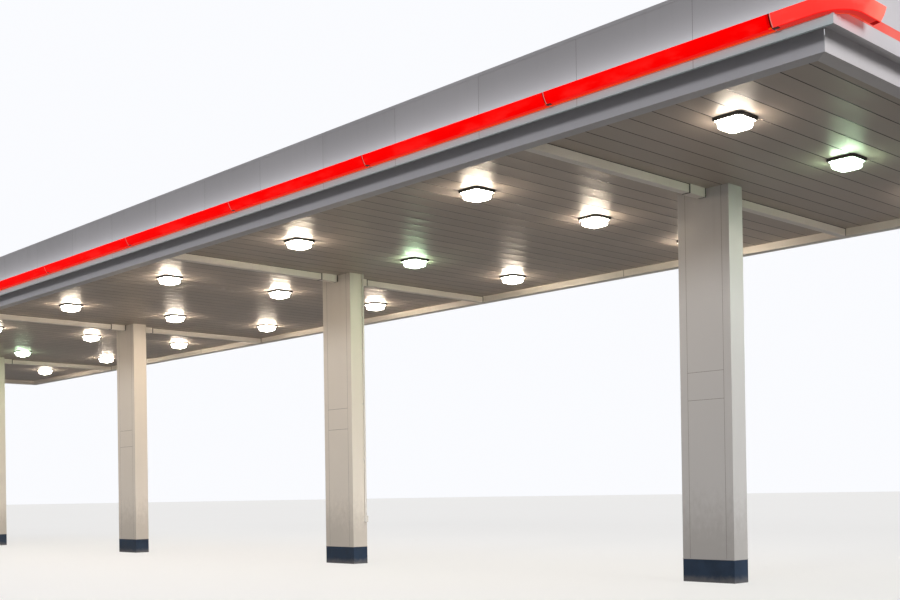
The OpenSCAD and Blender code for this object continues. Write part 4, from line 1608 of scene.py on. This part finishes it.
    def corner_piece(self, name: str, mirror: int) -> Piece:
        """Rounded piece round one front corner, closed at its side end.

        Args:
            name: Name of the end.
            mirror: 1 for the right end, -1 for the left end.

        Returns:
            The piece.
        """
        face_x, face_y = LAYOUT.half_length, -LAYOUT.half_width - LAYOUT.clearance
        side_x, end = face_x + self.standoff, -LAYOUT.half_width + self.side_end
        turn_x, turn_y = side_x - self.corner_radius, face_y + self.corner_radius
        start = face_x - self.corner_run + self.joint / 2 + self.trim
        places = [((x, face_y, self.low), (0.0, -1.0)) for x in (start, turn_x)]
        for i in range(1, self.corner_steps):
            angle = math.radians(90.0 * i / self.corner_steps)
            outward = (math.sin(angle), -math.cos(angle))
            places.append(((turn_x + self.corner_radius * outward[0],
                            turn_y + self.corner_radius * outward[1], self.low), outward))
        places += [((side_x, y, self.low), (1.0, 0.0)) for y in (turn_y, end - self.dark_under, end - self.end_gap)]
        rings = [self.ring(origin, outward) for origin, outward in places]
        end_x, end_z = side_x + self.end_point[0], self.low + self.end_point[1]
        rings.append([tuple(Vector(p).lerp(Vector((end_x, p[1], end_z)), self.end_draw)
                            + Vector((0, self.end_gap, 0))) for p in rings[-1]])
        work = Workpiece()
        # Near its side end the corner piece's underside takes the darker copy, painted shade.
        edges, end_edges = self.edge_finishes(0, 2), self.edge_finishes(0, 5)
        if mirror < 0:
            rings = [[(-p[0], p[1], p[2]) for p in ring][::-1] for ring in rings]
            edges, end_edges = (e[-2::-1] + e[-1:] for e in (edges, end_edges))
        work.loft(rings[:-2], (True, False), 0, edges)
        work.loft(rings[-3:], (False, True), 0, end_edges)
        finishes = [self.corner, self.top, self.corner_under, self.dim, self.end, self.dark]
        return work.to_object(f"bar_corner_{name}", finishes, smooth=30.0)


@dataclass
class Conduit(SubAssembly):
    """Service conduit and outlet box on one column, with the screws that hold them."""

    x: float = 4.8768
    face: float = 0.403
    y: float = 0.117
    box_low: float = 0.741
    box_high: float = 0.854
    box_out: float = 0.050
    box_inset: float = 0.010
    box_screw: float = 0.004
    straps: tuple[float, ...] = (4.842, 3.845, 2.848, 1.851)
    strap_out: float = 0.0023
    strap_ear: float = 0.0265
    strap_half: float = 0.010
    strap_screw: float = 0.0045
    paint: Finish = SheetPaint("conduit_coat", (0.66, 0.64, 0.60), 0.45, runs=0.2, runs_top=5.2,
                               runs_reach=4.0, wave=0.0002)
    fixings: Finish = Galvanised("conduit_screws", (0.48, 0.48, 0.49), 0.4, spangle=400.0)

    def build(self) -> None:
        """Dresses the conduit and adds its screws."""
        self.keep("service_conduit", self.paint)
        work = Workpiece()
        for z in self.straps:
            work.screw((self.x + self.face + self.strap_out, self.y - self.strap_ear, z + self.strap_half),
                       (1, 0, 0), self.strap_screw)
        for z in (self.box_low + self.box_inset, self.box_high - self.box_inset):
            work.screw((self.x + self.face + self.box_out, self.y, z), (1, 0, 0), self.box_screw)
        self.add(work.to_object("conduit_screws", [self.fixings]), "conduit_paint")


@dataclass
class Studio:
    """Pale floor, soft light and the camera at the photograph's viewing angle."""

    frame_w: float = 900.0
    frame_h: float = 600.0
    focal_px: float = 1183.2175
    middle_x: float = 465.2458
    middle_y: float = 486.2135
    eye: Point = (21.8964, -13.2147, 1.2046)
    yaw: float = 46.4077
    pitch: float = 0.4046
    roll: float = -0.852
    floor_half: float = 400.0
    floor_z: float = -0.002
    sensor: float = 36.0
    sky_light: float = 0.17
    glossy_share: float = 0.25
    floor: Finish = FloorFinish("floor_pale", (0.22, 0.215, 0.21), 0.8, lift=0.64)

    def build(self) -> None:
        """Builds the whole setting."""
        self.ground()
        self.sky()
        self.sun("key_light", (1.0, -0.07, 0.17), 2.7, 30.0, (1.0, 0.985, 0.98))
        self.sun("front_light", (0.20, -1.0, 0.27), 1.0, 12.0, (0.985, 0.985, 1.0))
        self.sun("top_light", (0.25, -0.10, 1.0), 0.9, 60.0, (0.97, 0.98, 1.0))
        self.camera()

    def ground(self) -> None:
        """Lays the floor."""
        work = Workpiece()
        corners = ((-1, -1), (1, -1), (1, 1), (-1, 1))
        work.face(work.ring((x * self.floor_half, y * self.floor_half, self.floor_z) for x, y in corners))
        work.to_object("floor", [self.floor])

    def sky(self) -> None:
        """Soft light from all round, white where it is seen."""
        world = bpy.data.worlds.new("studio")
        bpy.context.scene.world = world
        world.use_nodes = True
        tree = world.node_tree
        back = tree.nodes["Background"]
        path = tree.nodes.new("ShaderNodeLightPath")
        glossy = tree.nodes.new("ShaderNodeMath")
        glossy.operation = "MULTIPLY"
        glossy.inputs[1].default_value = self.glossy_share
        tree.links.new(path.outputs["Is Glossy Ray"], glossy.inputs[0])
        seen = path.outputs["Is Camera Ray"]
        for source in (path.outputs["Is Transmission Ray"], glossy.outputs[0]):
            larger = tree.nodes.new("ShaderNodeMath")
            larger.operation = "MAXIMUM"
            tree.links.new(seen, larger.inputs[0])
            tree.links.new(source, larger.inputs[1])
            seen = larger.outputs[0]
        strength = tree.nodes.new("ShaderNodeMapRange")
        strength.inputs["To Min"].default_value = self.sky_light
        strength.inputs["To Max"].default_value = 1.0
        tree.links.new(seen, strength.inputs["Value"])
        tree.links.new(strength.outputs["Result"], back.inputs["Strength"])
        back.inputs["Color"].default_value = (0.96, 0.97, 1.0, 1.0)

    def sun(self, name: str, towards: Point, strength: float, spread: float, colour: Colour) -> None:
        """Adds one wide soft light.

        Args:
            name: Name of the light.
            towards: Direction from the canopy to the light.
            strength: Light on a surface that faces it.
            spread: Width of the light in degrees.
            colour: Its colour.
        """
        light = bpy.data.lights.new(name, "SUN")
        light.energy = strength
        light.angle = math.radians(spread)
        light.color = colour
        lamp = bpy.data.objects.new(name, light)
        lamp.matrix_world = Vector(towards).to_track_quat("Z", "Y").to_matrix().to_4x4()
        bpy.context.scene.collection.objects.link(lamp)

    def camera(self) -> None:
        """Sets the camera where the photograph was taken from."""
        yaw, pitch, roll = (math.radians(v) for v in (self.yaw, self.pitch, self.roll))
        ahead = Vector((-math.sin(yaw) * math.cos(pitch), math.cos(yaw) * math.cos(pitch), math.sin(pitch)))
        right = Vector((math.cos(yaw), math.sin(yaw), 0.0))
        up = right.cross(ahead)
        right, up = right * math.cos(roll) + up * math.sin(roll), up * math.cos(roll) - right * math.sin(roll)
        data = bpy.data.cameras.new("camera")
        data.sensor_fit = "HORIZONTAL"
        data.sensor_width = self.sensor
        data.lens = self.focal_px / self.frame_w * self.sensor
        data.shift_x = (self.frame_w / 2 - self.middle_x) / self.frame_w
        data.shift_y = (self.middle_y - self.frame_h / 2) / self.frame_w
        data.clip_end = 2000.0
        camera = bpy.data.objects.new("camera", data)
        bpy.context.scene.collection.objects.link(camera)
        turn = Matrix((right, up, -ahead)).transposed().to_4x4()
        camera.matrix_world = Matrix.Translation(Vector(self.eye)) @ turn
        bpy.context.scene.camera = camera
        bpy.context.scene.view_settings.view_transform = "Standard"


def main() -> None:
    """Builds the sub-assemblies in order and reports their pieces."""
    logging.basicConfig(level=logging.INFO, format="%(message)s")
    for part in (Columns(), Steelwork(), Deck(), Lamps(), Gutters(), Fascia(), LightBar(), Conduit()):
        part.build()
        for name in part.made:
            log.info("%s: %s", type(part).__name__, name)
    Studio().build()


if __name__ == "__main__":
    main()
